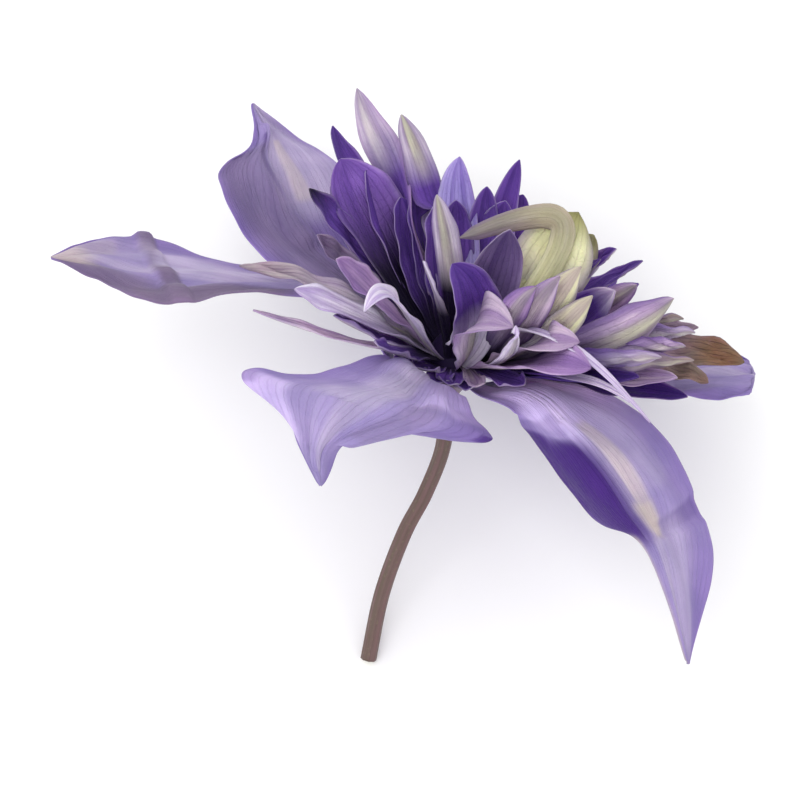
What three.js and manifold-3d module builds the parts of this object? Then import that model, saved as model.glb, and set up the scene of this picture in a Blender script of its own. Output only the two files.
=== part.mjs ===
// A double clematis bloom on its own leafless stalk, lying as picked.
//
// Millimetres, +Z up, the surface at z = 0 and the origin on it, under the
// middle of the bloom's box. Points are measured the way the bloom is seen:
// right, up and toward the viewer from the top of the stalk. The surface lies
// behind it, and lay() tips these points back over that surface.

import * as THREE from 'three';
import { mergeVertices } from 'three/addons/utils/BufferGeometryUtils.js';
import Module from 'manifold-3d';

// ---------------------------------------------------------------- sizes, mm

const REST_HEIGHT = 36;           // top of the stalk over the surface
const LEAN = 18;                  // degrees that the seen frame tips back
const BOX_CENTRE = [-8.4, 1.7];   // middle of the box from the top of the stalk

const AXIS_TILT = 22;             // degrees that the bloom faces the viewer
const AXIS_ROLL = 10;             // degrees that it leans right

const SEPAL_THICKNESS = 0.9;
const STAMINODE_THICKNESS = 0.7;
const CLEARANCE = 0.35;           // between pieces that touch on the plant

const STALK_RADIUS = 1.4;
const STALK_SIDES = 10;
const STALK_STEPS = 3;            // sections to each stretch of its course
const STALK_NECK = 1.15;          // swelling under the receptacle, in stalk radii
const RECEPTACLE_RADIUS = 3.2;
const RECEPTACLE_BROADEST = -1.2; // height of its broadest section
const RECEPTACLE_DEPTH = 5;
const RECEPTACLE_TOP = 0.5;
const RECEPTACLE_ROUNDING = 0.4;  // how much narrower its top is
const STALK_COURSE = [
  [-1.4, -13, -5.4],
  [-4.6, -21.5, -8.8],
  [-8.5, -29, -12],
  [-12.5, -40, -16],
  [-15, -52, -19.9],
];

const SEPAL_SEAT = 4;             // radius where a sepal leaves the receptacle
const CLAW_END = 9;               // radius where its narrow claw ends
const CLAW_WIDTHS = [1.2, 3.2];   // half widths at the seat and the claw's end
const LOWER_SEAT = -1.4;          // every other sepal is seated lower
const SEPAL_TIP = 0.5;            // half width that a sepal's tip keeps

const HEAD_RADIUS = 5.2;          // the short cushion that carries staminodes
const HEAD_BOTTOM = 0.85;
const HEAD_TOP = 9;
const HEAD_STEPS = 4;
const HEAD_SIDES = 12;
const ROOT_RADIUS = 4;            // staminode roots inside that cushion
const ROOT_HEIGHT = 4;

const BLADE_SWELL = [1.1, 0.75];  // powers that a blade's width rises and closes with
const BLADE_CUP = 30;             // degrees that each half curls up
const BLADE_CLAW = 0.35;          // width at the root, as a share of the broadest
const BLADE_TIP = 0.3;            // half width that the tip keeps
const FIRST_BEND = 0.4;           // bend points, as shares of the way to the tip
const SECOND_BEND = 0.65;

// Sepals: azimuth round the bloom's axis (0 right, 90 away from the viewer),
// then the tip and stations from the claw outward, each a left margin, midrib
// and right margin as met when looking outward. claw is the half width at the
// claw's end where it is broader than the others.

const SEPALS = [
  { name: 'sepal_1', azimuth: 178, lower: true, tip: [-72, 21, 6], stations: [
    [[-18.5, 12, 8], [-18.5, 14, 0], [-19, 15.5, -6]],
    [[-37.5, 14.5, 14], [-37.5, 17, 2], [-37.5, 20, -9]],
    [[-53.5, 12.5, 17], [-54.5, 18.5, 5], [-55, 24.6, -8]],
    [[-64, 17.5, 11], [-65, 21, 6], [-65.5, 24, 1]],
  ] },
  { name: 'sepal_2', azimuth: 132, lower: false, tip: [-36.5, 50.2, -36], stations: [
    [[-18, 9.5, -11], [-14.5, 14, -15], [-8.5, 15.5, -20]],
    [[-35, 22, -18], [-27.5, 26, -25], [-14, 26.5, -32]],
    [[-42, 35.8, -16.5], [-32.5, 37.5, -30], [-20, 38, -36]],
    [[-36.5, 42.5, -30], [-33.5, 44, -35], [-29.5, 45.2, -38]],
  ] },
  { name: 'sepal_3', azimuth: 250, lower: true, claw: 4.6, tip: [-23, -19.5, 56], stations: [
    [[1.5, -3, 14], [-5.5, -0.5, 20], [-12, 3, 14]],
    [[3, -6.5, 28], [-10, -3.5, 38], [-24, 0.6, 30]],
    [[6.2, -12, 36], [-16.5, -5.4, 50], [-36.8, -0.4, 42]],
    [[-15.5, -9.6, 48], [-23, -12.8, 56], [-29, -8, 50]],
  ] },
  { name: 'sepal_4', azimuth: 322, lower: false, tip: [42, -51.5, 24], stations: [
    [[16.5, -0.5, 4], [14, -4.5, 14], [11, -6.5, 20]],
    [[31, -5, 8], [25.5, -13.2, 22], [14.2, -11.4, 14]],
    [[41.8, -17.5, 10], [33, -23.4, 25.5], [25.2, -25, 14]],
    [[46.6, -33, 14], [37.5, -33, 28], [35, -31, 22]],
  ] },
  { name: 'sepal_5', azimuth: 5, lower: true, tip: [55, -0.8, -9], stations: [
    [[19.5, 4.5, -14], [18, 0, -5], [17.5, -2.5, 2]],
    [[34, 5.5, -20], [34, 0.5, -8], [33, -3.5, 2]],
    [[47, 5.5, -20], [47, 0.5, -9], [45, -4, 1]],
    [[53.6, 3, -14], [54.3, 0, -10], [53, -4, -2]],
  ] },
];

// The two sepals behind the bloom, by azimuth, radius and height on its axis,
// half width and how far the margins rise. They carry the bloom as it lies.

const BACK_SEPALS = [
  { name: 'sepal_6', azimuth: 52, lower: false, tip: [56, 0], bands: [
    [18, 3, 8, 1],
    [34, 5, 15, 2],
    [47, 3, 12, 1],
  ] },
  { name: 'sepal_7', azimuth: 93, lower: true, tip: [57.5, 11.8], bands: [
    [16, -1, 7, 1],
    [31, -1, 14, 1],
    [44, -2, 14, 0],
    [52, 5.3, 8, 0],
  ] },
];

// Staminodes that are placed one by one: tip, half width, azimuth and rise of
// the root in degrees. out and bend pull the blade on its way, rootFaces and
// faces are where its inner side looks at the root and at the tip, cup is how far
// each half curls up, and swell shapes the width: the powers it rises and closes
// with.

const STAMINODES = [
  { tip: [-21.5, 45.5, -18], half: 3, azimuth: 130, rise: 55, bend: [-19.5, 36, -14],
    faces: [0.5, 0.1, 0.85] },
  { tip: [-17, 52, -10], half: 4, azimuth: 115, rise: 62, bend: [-13.5, 38, -6], faces: [0.2, 0.1, -0.95] },
  { tip: [-9, 47, -2], half: 3.3, azimuth: 100, rise: 68, faces: [-0.3, 0.1, -0.9] },
  { tip: [-20, 39, -2], half: 7, azimuth: 150, rise: 50, faces: [0.2, 0.2, 0.95] },
  { tip: [-25.5, 33.5, 4], half: 3, azimuth: 160, rise: 42, faces: [0.4, 0.5, 0.8] },
  { tip: [-24, 25, 12], half: 3.2, azimuth: 180, rise: 36, faces: [0.2, 0.6, 0.7] },
  { tip: [1.6, 39.5, -6], half: 3.8, azimuth: 80, rise: 75, bend: [-0.5, 30, -2], faces: [-0.2, 0.2, 1] },
  { tip: [6.5, 34, -2], half: 3, azimuth: 70, rise: 72, faces: [0, 0.2, 1] },
  { tip: [12.5, 39, -8], half: 2.6, azimuth: 60, rise: 66, bend: [8.5, 29, -4], faces: [0.2, 0.2, 1] },
  { tip: [-2.6, 32, 20], half: 2.6, azimuth: 260, rise: 72 },
  { tip: [-5, 20, 28], half: 1.5, azimuth: 250, rise: 62, faces: [1, 0.1, 0.1] },
  { tip: [10.3, 25.6, 26], half: 5, azimuth: 290, rise: 62, rootFaces: [0, 0.3, 1],
    faces: [0.1, 0.2, 1], cup: 45 },
  { tip: [0, 19.5, 30], half: 5.4, azimuth: 280, rise: 46, bend: [5, 14, 32],
    rootFaces: [0, 0.3, 1], faces: [0.3, 0.2, 1], cup: 45 },
  { tip: [22.8, 19, 30], half: 3.8, azimuth: 320, rise: 32, bend: [16.5, 11.5, 36],
    rootFaces: [0.1, 0.5, -0.85], faces: [0.2, 0.4, -0.9], cup: 45 },
  { tip: [19, 17.2, 34], half: 3.2, azimuth: 312, rise: 32, bend: [12.5, 10.5, 38],
    rootFaces: [0.1, 0.5, -0.85], faces: [0.1, 0.4, -0.9], cup: 45 },
  { tip: [14.8, 15.4, 36], half: 2.9, azimuth: 304, rise: 36, bend: [9, 11, 38],
    rootFaces: [0.1, 0.4, -0.9], faces: [-0.1, 0.3, -0.9], cup: 45 },
  { tip: [24.8, 13.8, 30], half: 3, azimuth: 325, rise: 24, bend: [19, 7.5, 37],
    rootFaces: [0.1, 0.5, -0.85], faces: [0.2, 0.4, -0.9], cup: 45 },
  { tip: [29.5, 22.5, 12], half: 3.4, azimuth: 15, rise: 40 },
  { tip: [26.5, 20.5, 18], half: 2.8, azimuth: 0, rise: 40 },
  { tip: [34.5, 20.5, 4], half: 2.6, azimuth: 20, rise: 30 },
  { tip: [33, 16, 20], half: 3, azimuth: 350, rise: 28, rootFaces: [0, 0.4, -0.9],
    faces: [0.1, 0.3, -0.9] },
  { tip: [29, 14.8, 24], half: 4.2, azimuth: 340, rise: 24, rootFaces: [0, 0.3, 1], faces: [0, 0.3, 1] },
  { tip: [39.5, 13.5, 18], half: 5.6, azimuth: 335, rise: 14, bend: [33, 4.5, 34],
    rootFaces: [-0.2, 0.6, -0.8], faces: [-0.5, 0.5, -0.7], cup: 50 },
  { tip: [41.5, 10, 12], half: 2.3, azimuth: 0, rise: 16, bend: [34, 9.5, 20],
    rootFaces: [0, 0.6, -0.8], faces: [0.2, 0.6, -0.7], cup: 60 },
  { tip: [43.5, 7.5, 14], half: 2.3, azimuth: 352, rise: 14, bend: [36, 7.5, 22],
    rootFaces: [0, 0.6, -0.8], faces: [0.2, 0.6, -0.7], cup: 60 },
  { tip: [41.5, 5, 22], half: 2.3, azimuth: 346, rise: 12, bend: [34, 5, 30],
    rootFaces: [0, 0.6, -0.8], faces: [0.2, 0.6, -0.7], cup: 60 },
  { tip: [43, 2.5, 22], half: 2.3, azimuth: 342, rise: 9, bend: [34, 1.5, 31],
    rootFaces: [0, 0.6, -0.8], faces: [0.2, 0.6, -0.7], cup: 60 },
  { tip: [37, 3, 30], half: 2.6, azimuth: 336, rise: 10, bend: [28, 2.5, 36],
    rootFaces: [0, 0.6, -0.8], faces: [0.2, 0.6, -0.7], cup: 50 },
  { tip: [44.5, 8.5, 4], half: 3, azimuth: 12, rise: 16, faces: [0.1, 0.5, 0.8] },
  { tip: [52.8, 2.2, 4], half: 3.8, azimuth: 6, rise: 10, bend: [45, 5.4, 9], faces: [0.1, 0.4, 0.9] },
  { tip: [50, 4.4, 0], half: 3, azimuth: 14, rise: 12, faces: [0.1, 0.4, 0.9] },
  { tip: [46, -1.5, 12], half: 2.8, azimuth: 0, rise: 6, bend: [41, 2.5, 16], faces: [0.1, 0.4, 0.9] },
  { tip: [22.5, 5.6, 33], half: 4.2, azimuth: 318, rise: 18, bend: [13, 8, 37], faces: [0, 0.35, 0.95] },
  { tip: [24.5, 1, 35], half: 5.6, azimuth: 315, rise: 12, bend: [15, 4.5, 39],
    faces: [0, 0.35, 0.95], swell: [0.8, 0.75] },
  { tip: [40, -0.6, 25], half: 2.8, azimuth: 336, rise: 5, faces: [0, 0.5, 0.85] },
  { tip: [42, -4, 20], half: 2.8, azimuth: 340, rise: 2, faces: [0, 0.5, 0.85] },
  { tip: [33, -0.5, 33], half: 2.4, azimuth: 326, rise: 6, faces: [0, 0.5, 0.85] },
  { tip: [35, -8.5, 32], half: 1.2, azimuth: 322, rise: 8, out: [10, 12, 31], bend: [20, 9, 38],
    faces: [0.6, 0.5, 0.6] },
  { tip: [31.5, -5, 30], half: 1, azimuth: 324, rise: 8, bend: [25, 1, 33], faces: [0, 0.5, 0.85] },
  { tip: [10.8, 8.2, 34], half: 5.2, azimuth: 285, rise: 34, bend: [1, 14, 33],
    rootFaces: [0, 0.4, 1], faces: [0.1, 0.35, 0.95] },
  { tip: [11.2, 8.5, 37], half: 1.4, azimuth: 300, rise: 16, bend: [11.5, 4, 38], faces: [-0.1, 0.6, 0.8] },
  { tip: [-28, 15.2, 18], half: 3.3, azimuth: 208, rise: 28, faces: [0.1, 0.55, 0.8] },
  { tip: [-20.5, 20.5, 20], half: 3.8, azimuth: 200, rise: 38, faces: [0.1, 0.5, 0.85] },
  { tip: [-15.5, 11, 36], half: 2.1, azimuth: 235, rise: 30, bend: [-11, 21, 32], faces: [0.2, 0.3, 0.9] },
  { tip: [-21, 10.5, 18], half: 2.4, azimuth: 205, rise: 12 },
  { tip: [-13, 5, 28], half: 3, azimuth: 225, rise: 10, faces: [0.1, 0.6, 0.8] },
  { tip: [-35.5, 11.5, 13], half: 1.5, azimuth: 204, rise: 4 },
  { tip: [-38, 19.5, 10], half: 2.2, azimuth: 186, rise: 12, out: [-14, 13, 9.5],
    bend: [-27, 18.5, 11], faces: [0.1, 0.6, 0.8] },
  { tip: [4.2, -2.2, 20], half: 2, azimuth: 292, rise: -6, faces: [0, 0.4, 0.9] },
  { tip: [13, -1.8, 18], half: 2.6, azimuth: 308, rise: 0, faces: [0, 0.5, 0.85] },
];

// Whorls of staminodes that fill the far side of the bloom, from the outside
// in, and a row of short ones that skirts its near side: count, first and last
// azimuth, rise in degrees at each, length and half width.

const WHORLS = [
  [8, 12, 142, 8, 20, 38, 4.4],
  [7, 24, 150, 15, 38, 34, 4.6],
  [6, 40, 150, 38, 52, 29, 4.4],
  [4, 60, 140, 56, 64, 25, 3.8],
  [6, 205, 288, -4, 2, 9.2, 2.6],
];

// How far the blades of a whorl differ. place is between two neighbours, start
// is from the whorl's rise, swing and curl are of the tip, all three in degrees,
// and reach and width are shares of the whorl's own.

const WHORL_DRAWS = {
  place: [0.3, 0.7],
  start: [-10, -2],
  reach: [0.92, 1.06],
  swing: [-6, 6],
  curl: [6, 16],
  width: [0.8, 1.15],
};
const WHORL_ROOT_HEIGHTS = [3, 6.5];  // of flat blades and of upright ones
const WHORL_TUCK = 0.7;               // share of the rise that draws a root inward

// The pale tuft: a narrow blade that hooks over it, two broad ones, and small
// ones that close like a bud round an axis of its own.

const TUFT_BLADES = [
  { tip: [1.5, 24.2, 24], half: 2.8, azimuth: 322, rise: 40, out: [18, 15.5, 36],
    bend: [33, 38.5, 18], rootFaces: [-0.1, 0.2, -1], faces: [-0.3, -0.5, -0.8], cup: 60, swell: [0.6, 0.3] },
  { tip: [22.6, 28.8, 18], half: 7.4, azimuth: 325, rise: 44, bend: [18.5, 24, 27],
    rootFaces: [0.1, 0.3, -0.95], faces: [0.3, 0.3, -0.9], cup: 30 },
  { tip: [25.5, 25, 12], half: 5, azimuth: 345, rise: 50, rootFaces: [0, 0.2, -1],
    faces: [-0.3, -0.2, -0.9] },
];
const TUFT_COUNT = 12;
const TUFT_AXIS = [0.65, 0.64, 0.41];
const TUFT_LENGTH = 29;
const TUFT_SHORTER = 4;           // how much shorter the outer blades get
const TUFT_ROOT = [2.5, 6];       // radius and height of the roots
const TUFT_FOOT = 5;              // height that the tuft's lengths start from
const TUFT_SPREAD = [3, 6];       // radius of the middle blades, more for the outer
const TUFT_BELLY = 16;
const TUFT_BELLY_RADIUS = 1.3;    // in radii of a blade
const TUFT_TIP_RADIUS = 0.35;
const TUFT_BULGE = 2;             // how far a blade leans out on its way up
const TUFT_SHOULDER = 6;          // from the belly to the bend over the middle
const TUFT_HALF_WIDTH = 3.8;
const TUFT_CUP = 35;
const GOLDEN_ANGLE = 137.508;

const SHORTEST_EDGE = 0.02;       // shorter edges left by fusing are closed up
const SEPAL_GRID = [12, 4];       // cells along and across
const STAMINODE_GRID = [4, 2];
const TUFT_GRID = [6, 2];

// ------------------------------------------------------------- the two frames

const radians = THREE.MathUtils.degToRad;

function turnBack(x, y, z) {
  const c = Math.cos(radians(LEAN));
  const s = Math.sin(radians(LEAN));
  return new THREE.Vector3(x, y * c - z * s, y * s + z * c);
}

function lay(x, y, z) {
  return turnBack(x, y, z).add(new THREE.Vector3(0, 0, REST_HEIGHT));
}

const AXIS = turnBack(
  Math.sin(radians(AXIS_ROLL)) * Math.cos(radians(AXIS_TILT)),
  Math.cos(radians(AXIS_ROLL)) * Math.cos(radians(AXIS_TILT)),
  Math.sin(radians(AXIS_TILT)),
);
const RIGHT = new THREE.Vector3(1, 0, 0).addScaledVector(AXIS, -AXIS.x).normalize();
const AWAY = new THREE.Vector3().crossVectors(AXIS, RIGHT);
const CENTRE = lay(0, 0, 0);

// Unit vector at an azimuth round the bloom's axis, raised by some degrees.
function aim(azimuth, rise) {
  const a = radians(azimuth);
  const r = radians(rise);
  return RIGHT.clone().multiplyScalar(Math.cos(a) * Math.cos(r))
    .addScaledVector(AWAY, Math.sin(a) * Math.cos(r))
    .addScaledVector(AXIS, Math.sin(r));
}

// Point at an azimuth, a radius from the bloom's axis and a height along it.
function at(azimuth, radius, height) {
  return CENTRE.clone().addScaledVector(aim(azimuth, 0), radius).addScaledVector(AXIS, height);
}

// ------------------------------------------------------------ thin closed sheets

// Nothing lies lower than half a sheet's thickness, so its underside ends on
// the surface.
function keepUp(point, thickness) {
  point.z = Math.max(point.z, thickness / 2);
  return point;
}

// A grid of points thickened both ways along its own normals. Both faces are
// split along the same diagonals.
function sheet(grid, thickness) {
  const rows = grid.length;
  const columns = grid[0].length;
  const positions = [];
  for (const side of [1, -1]) {
    for (let i = 0; i < rows; i++) {
      for (let j = 0; j < columns; j++) {
        const along = grid[Math.min(i + 1, rows - 1)][j].clone().sub(grid[Math.max(i - 1, 0)][j]);
        const across = grid[i][Math.min(j + 1, columns - 1)].clone().sub(grid[i][Math.max(j - 1, 0)]);
        const normal = across.cross(along).normalize();
        const point = grid[i][j].clone().addScaledVector(normal, side * thickness / 2);
        positions.push(point.x, point.y, Math.max(point.z, 0));
      }
    }
  }
  const indices = [];
  const back = rows * columns;
  const vertex = (i, j) => i * columns + j;
  for (let i = 0; i < rows - 1; i++) {
    for (let j = 0; j < columns - 1; j++) {
      const a = vertex(i, j);
      const b = vertex(i, j + 1);
      const c = vertex(i + 1, j + 1);
      const d = vertex(i + 1, j);
      indices.push(a, b, c, a, c, d);
      indices.push(back + a, back + c, back + b, back + a, back + d, back + c);
    }
  }
  const rim = [];
  for (let j = 0; j < columns - 1; j++) rim.push(vertex(0, j));
  for (let i = 0; i < rows - 1; i++) rim.push(vertex(i, columns - 1));
  for (let j = columns - 1; j > 0; j--) rim.push(vertex(rows - 1, j));
  for (let i = rows - 1; i > 0; i--) rim.push(vertex(i, 0));
  rim.forEach((p, k) => {
    const q = rim[(k + 1) % rim.length];
    indices.push(p, back + p, back + q, p, back + q, q);
  });
  return geometryFrom(positions, indices);
}

function geometryFrom(positions, indices) {
  const geometry = new THREE.BufferGeometry();
  geometry.setAttribute('position', new THREE.Float32BufferAttribute(positions, 3));
  geometry.setIndex(indices);
  return geometry;
}

// --------------------------------------------------------------------- sepals

// A sepal is a smooth skin: Catmull-Rom curves run through its left margins,
// midrib and right margins, and a parabola spans each set of three.
function sepal({ azimuth, lower, claw }, stations, tip) {
  const seat = lower ? LOWER_SEAT : 0;
  const tangent = aim(azimuth + 90, 0);
  const widths = [CLAW_WIDTHS[0], claw ?? CLAW_WIDTHS[1]];
  const base = [SEPAL_SEAT, CLAW_END].map((radius, k) => {
    const middle = at(azimuth, radius, seat);
    return [1, 0, -1].map((s) => middle.clone().addScaledVector(tangent, s * widths[k]));
  });
  const last = stations[stations.length - 1];
  const across = last[2].clone().sub(last[0]).setLength(SEPAL_TIP);
  const point = [-1, 0, 1].map((s) => tip.clone().addScaledVector(across, s));
  const rails = [0, 1, 2].map((k) => {
    const through = [...base, ...stations, point].map((station) => station[k]);
    return new THREE.CatmullRomCurve3(through, false, 'catmullrom', 0.5);
  });
  const [along, wide] = SEPAL_GRID;
  const grid = [];
  for (let i = 0; i <= along; i++) {
    const [left, middle, right] = rails.map((rail) => rail.getPoint(i / along));
    const row = [];
    for (let j = 0; j <= wide; j++) {
      const v = 2 * j / wide - 1;
      const p = left.clone().multiplyScalar(v * (v - 1) / 2)
        .addScaledVector(middle, 1 - v * v)
        .addScaledVector(right, v * (v + 1) / 2);
      row.push(keepUp(p, SEPAL_THICKNESS));
    }
    grid.push(row);
  }
  return sheet(grid, SEPAL_THICKNESS);
}

function bandStations(azimuth, bands) {
  return bands.map(([radius, height, halfWidth, liftedMargin]) => {
    const tangent = aim(azimuth + 90, 0);
    return [1, 0, -1].map((s) => at(azimuth, radius, height)
      .addScaledVector(tangent, s * halfWidth)
      .addScaledVector(AXIS, Math.abs(s) * liftedMargin));
  });
}

// ----------------------------------------------------------------- staminodes

// Half width of a blade along its length: a narrow claw that swells to a
// single broadest place and closes at the tip.
function halfWidth(u, half, swell) {
  const [rising, closing] = swell;
  const peak = rising / (rising + closing);
  const full = peak ** rising * (1 - peak) ** closing;
  return Math.max(BLADE_TIP, half * (BLADE_CLAW * (1 - u) ** 3 + u ** rising * (1 - u) ** closing / full));
}

// A cupped blade on a cubic Bezier midrib. Its inner face turns from one
// direction at the root to another at the tip, and each half is an arc.
function blade(spec, [along, wide], thickness, extra = 0) {
  const { root, out, bend, tip, facesFirst, facesLast, half } = spec;
  const cup = spec.cup ?? BLADE_CUP;
  const swell = spec.swell ?? BLADE_SWELL;
  const midrib = new THREE.CubicBezierCurve3(root, out, bend, tip);
  const grid = [];
  for (let i = 0; i <= along; i++) {
    const u = i / along;
    const middle = midrib.getPoint(u);
    const tangent = midrib.getTangent(u);
    const faces = facesFirst.clone().lerp(facesLast, u).normalize();
    const side = new THREE.Vector3().crossVectors(tangent, faces).normalize();
    const normal = new THREE.Vector3().crossVectors(side, tangent);
    const w = halfWidth(u, half, swell) + extra;
    const arc = radians(cup * Math.min(1, 4 * u) + 0.01);
    const row = [];
    for (let j = 0; j <= wide; j++) {
      const v = 2 * j / wide - 1;
      const turn = arc * Math.abs(v);
      row.push(middle.clone()
        .addScaledVector(side, Math.sign(v) * w * Math.sin(turn) / arc)
        .addScaledVector(normal, w * (1 - Math.cos(turn)) / arc));
    }
    grid.push(row);
  }
  return sheet(grid, thickness);
}

// Fills in what a placed staminode leaves to the rule.
function placed(spec) {
  const root = at(spec.azimuth, ROOT_RADIUS, ROOT_HEIGHT);
  const tip = lay(...spec.tip);
  const away = aim(spec.azimuth, spec.rise).multiplyScalar(FIRST_BEND * tip.distanceTo(root));
  const out = spec.out ? lay(...spec.out) : root.clone().add(away);
  const bend = spec.bend ? lay(...spec.bend) : out.clone().lerp(tip, SECOND_BEND);
  const square = aim(spec.azimuth, spec.rise + 90);
  const facesFirst = spec.rootFaces ? turnBack(...spec.rootFaces) : square;
  const facesLast = spec.faces ? turnBack(...spec.faces) : square;
  return { ...spec, root, out, bend, tip, facesFirst, facesLast };
}

// A repeatable random draw from 0 to 1.
let drawn = 11;
function draw() {
  drawn = (drawn * 1664525 + 1013904223) % 4294967296;
  return drawn / 4294967296;
}

function between([low, high]) {
  return low + (high - low) * draw();
}

function whorlBlades() {
  const blades = [];
  const [flat, upright] = WHORL_ROOT_HEIGHTS;
  for (const [count, low, high, lowRise, highRise, length, half] of WHORLS) {
    for (let k = 0; k < count; k++) {
      const share = (k + between(WHORL_DRAWS.place)) / count;
      const azimuth = low + (high - low) * share;
      const rise = lowRise + (highRise - lowRise) * share;
      const start = rise + between(WHORL_DRAWS.start);
      const radius = ROOT_RADIUS * Math.cos(radians(rise * WHORL_TUCK));
      const root = at(azimuth, radius, flat + (upright - flat) * Math.sin(radians(rise)));
      const reach = length * between(WHORL_DRAWS.reach);
      const swing = azimuth + between(WHORL_DRAWS.swing);
      const tip = root.clone().addScaledVector(aim(swing, start + between(WHORL_DRAWS.curl)), reach);
      const out = root.clone().addScaledVector(aim(azimuth, start), FIRST_BEND * reach);
      const bend = out.clone().lerp(tip, SECOND_BEND);
      const facing = aim(azimuth, start + 90);
      const width = half * between(WHORL_DRAWS.width);
      blades.push({ root, out, bend, tip, half: width, facesFirst: facing, facesLast: facing });
    }
  }
  return blades;
}

function tuftBlades() {
  const blades = [];
  const axis = turnBack(...TUFT_AXIS).normalize();
  const first = new THREE.Vector3().crossVectors(axis, turnBack(0, 0, 1)).normalize();
  const second = new THREE.Vector3().crossVectors(first, axis);
  for (let k = 0; k < TUFT_COUNT; k++) {
    const a = radians(k * GOLDEN_ANGLE);
    const spread = TUFT_SPREAD[0] + TUFT_SPREAD[1] * Math.sqrt((k + 0.5) / TUFT_COUNT);
    const outward = first.clone().multiplyScalar(Math.cos(a)).addScaledVector(second, Math.sin(a));
    const along = (height, distance, rise) => at(0, 0, height)
      .addScaledVector(axis, rise)
      .addScaledVector(outward, distance);
    const root = along(TUFT_ROOT[1], TUFT_ROOT[0], 0);
    const belly = along(TUFT_FOOT, spread * TUFT_BELLY_RADIUS, TUFT_BELLY);
    const reach = TUFT_LENGTH - TUFT_SHORTER * k / TUFT_COUNT;
    const tip = along(TUFT_FOOT, spread * TUFT_TIP_RADIUS, reach);
    const out = root.clone().lerp(belly, 0.5).addScaledVector(outward, TUFT_BULGE);
    const bend = belly.clone().addScaledVector(axis, TUFT_SHOULDER);
    const facing = outward.clone().negate();
    const half = TUFT_HALF_WIDTH;
    blades.push({ root, out, bend, tip, half, facesFirst: facing, facesLast: facing, cup: TUFT_CUP });
  }
  return blades;
}

// The low cushion on top of the receptacle that the staminodes grow from.
function cushion(radius, bottom, top) {
  const profile = [new THREE.Vector2(0, bottom)];
  for (let k = 0; k <= HEAD_STEPS; k++) {
    const a = radians(90 * k / HEAD_STEPS);
    profile.push(new THREE.Vector2(radius * Math.cos(a), bottom + (top - bottom) * Math.sin(a)));
  }
  profile[profile.length - 1].x = 0;
  const geometry = new THREE.LatheGeometry(profile, HEAD_SIDES);
  const upright = new THREE.Matrix4().makeBasis(RIGHT, AXIS, AWAY.clone().negate());
  return geometry.applyMatrix4(upright.setPosition(CENTRE));
}

// ---------------------------------------------------------------------- stalk

// The stalk is round, swells into the receptacle at its top and runs down to
// its cut end on the surface.
function stalk() {
  const heights = [RECEPTACLE_TOP, RECEPTACLE_BROADEST, -RECEPTACLE_DEPTH];
  const course = heights.map((height) => at(0, 0, height));
  const neck = STALK_RADIUS * STALK_NECK;
  const radii = [RECEPTACLE_RADIUS - RECEPTACLE_ROUNDING, RECEPTACLE_RADIUS, neck];
  for (const point of STALK_COURSE) {
    course.push(lay(...point));
    radii.push(STALK_RADIUS);
  }
  const line = new THREE.CatmullRomCurve3(course, false, 'catmullrom', 0.5);
  const steps = (course.length - 1) * STALK_STEPS;
  const positions = [];
  const indices = [];
  for (let i = 0; i <= steps; i++) {
    const u = i / steps;
    const section = Math.min(Math.floor(u * (radii.length - 1)), radii.length - 2);
    const part = u * (radii.length - 1) - section;
    const radius = THREE.MathUtils.lerp(radii[section], radii[section + 1], part);
    const tangent = line.getTangent(u);
    const side = new THREE.Vector3().crossVectors(tangent, RIGHT).normalize();
    const other = new THREE.Vector3().crossVectors(tangent, side);
    const centre = line.getPoint(u);
    for (let j = 0; j < STALK_SIDES; j++) {
      const a = 2 * Math.PI * j / STALK_SIDES;
      const p = centre.clone()
        .addScaledVector(side, radius * Math.cos(a))
        .addScaledVector(other, radius * Math.sin(a));
      positions.push(p.x, p.y, Math.max(p.z, 0));
    }
  }
  for (let i = 0; i < steps; i++) {
    for (let j = 0; j < STALK_SIDES; j++) {
      const a = i * STALK_SIDES + j;
      const b = i * STALK_SIDES + (j + 1) % STALK_SIDES;
      indices.push(a, b + STALK_SIDES, a + STALK_SIDES, a, b, b + STALK_SIDES);
    }
  }
  const end = steps * STALK_SIDES;
  for (let j = 1; j < STALK_SIDES - 1; j++) {
    indices.push(0, j + 1, j);
    indices.push(end, end + j, end + j + 1);
  }
  return geometryFrom(positions, indices);
}

// --------------------------------------------------------------------- solids

const wasm = await Module();
wasm.setup();

function solidFrom(geometry) {
  const bare = geometry.clone();
  bare.deleteAttribute('normal');
  bare.deleteAttribute('uv');
  const merged = mergeVertices(bare, 1e-4);
  return new wasm.Manifold(new wasm.Mesh({
    numProp: 3,
    vertProperties: new Float32Array(merged.attributes.position.array),
    triVerts: new Uint32Array(merged.index.array),
  }));
}

function fused(geometries) {
  return geometries.map(solidFrom).reduce((whole, piece) => whole.add(piece));
}

// Closes up edges that are too short to keep. An edge goes only where its ends
// share just the two corners beside it, so the skin stays closed.
function closeShortEdges(points, triangles) {
  const around = points.map(() => new Set());
  triangles.forEach((triangle, t) => triangle.forEach((p) => around[p].add(t)));
  const neighbours = (p) => new Set([...around[p]].flatMap((t) => triangles[t]).filter((q) => q !== p));
  let again = true;
  while (again) {
    again = false;
    for (let p = 0; p < points.length; p++) {
      for (const q of neighbours(p)) {
        if (points[p].distanceTo(points[q]) >= SHORTEST_EDGE) continue;
        const ours = neighbours(p);
        const shared = [...neighbours(q)].filter((k) => ours.has(k));
        if (shared.length !== 2) continue;
        for (const t of [...around[q]]) {
          if (triangles[t].includes(p)) {
            triangles[t].forEach((k) => around[k].delete(t));
            triangles[t] = null;
          } else {
            triangles[t] = triangles[t].map((k) => (k === q ? p : k));
            around[q].delete(t);
            around[p].add(t);
          }
        }
        again = true;
        break;
      }
    }
  }
  return triangles.filter((triangle) => triangle !== null);
}

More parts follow.
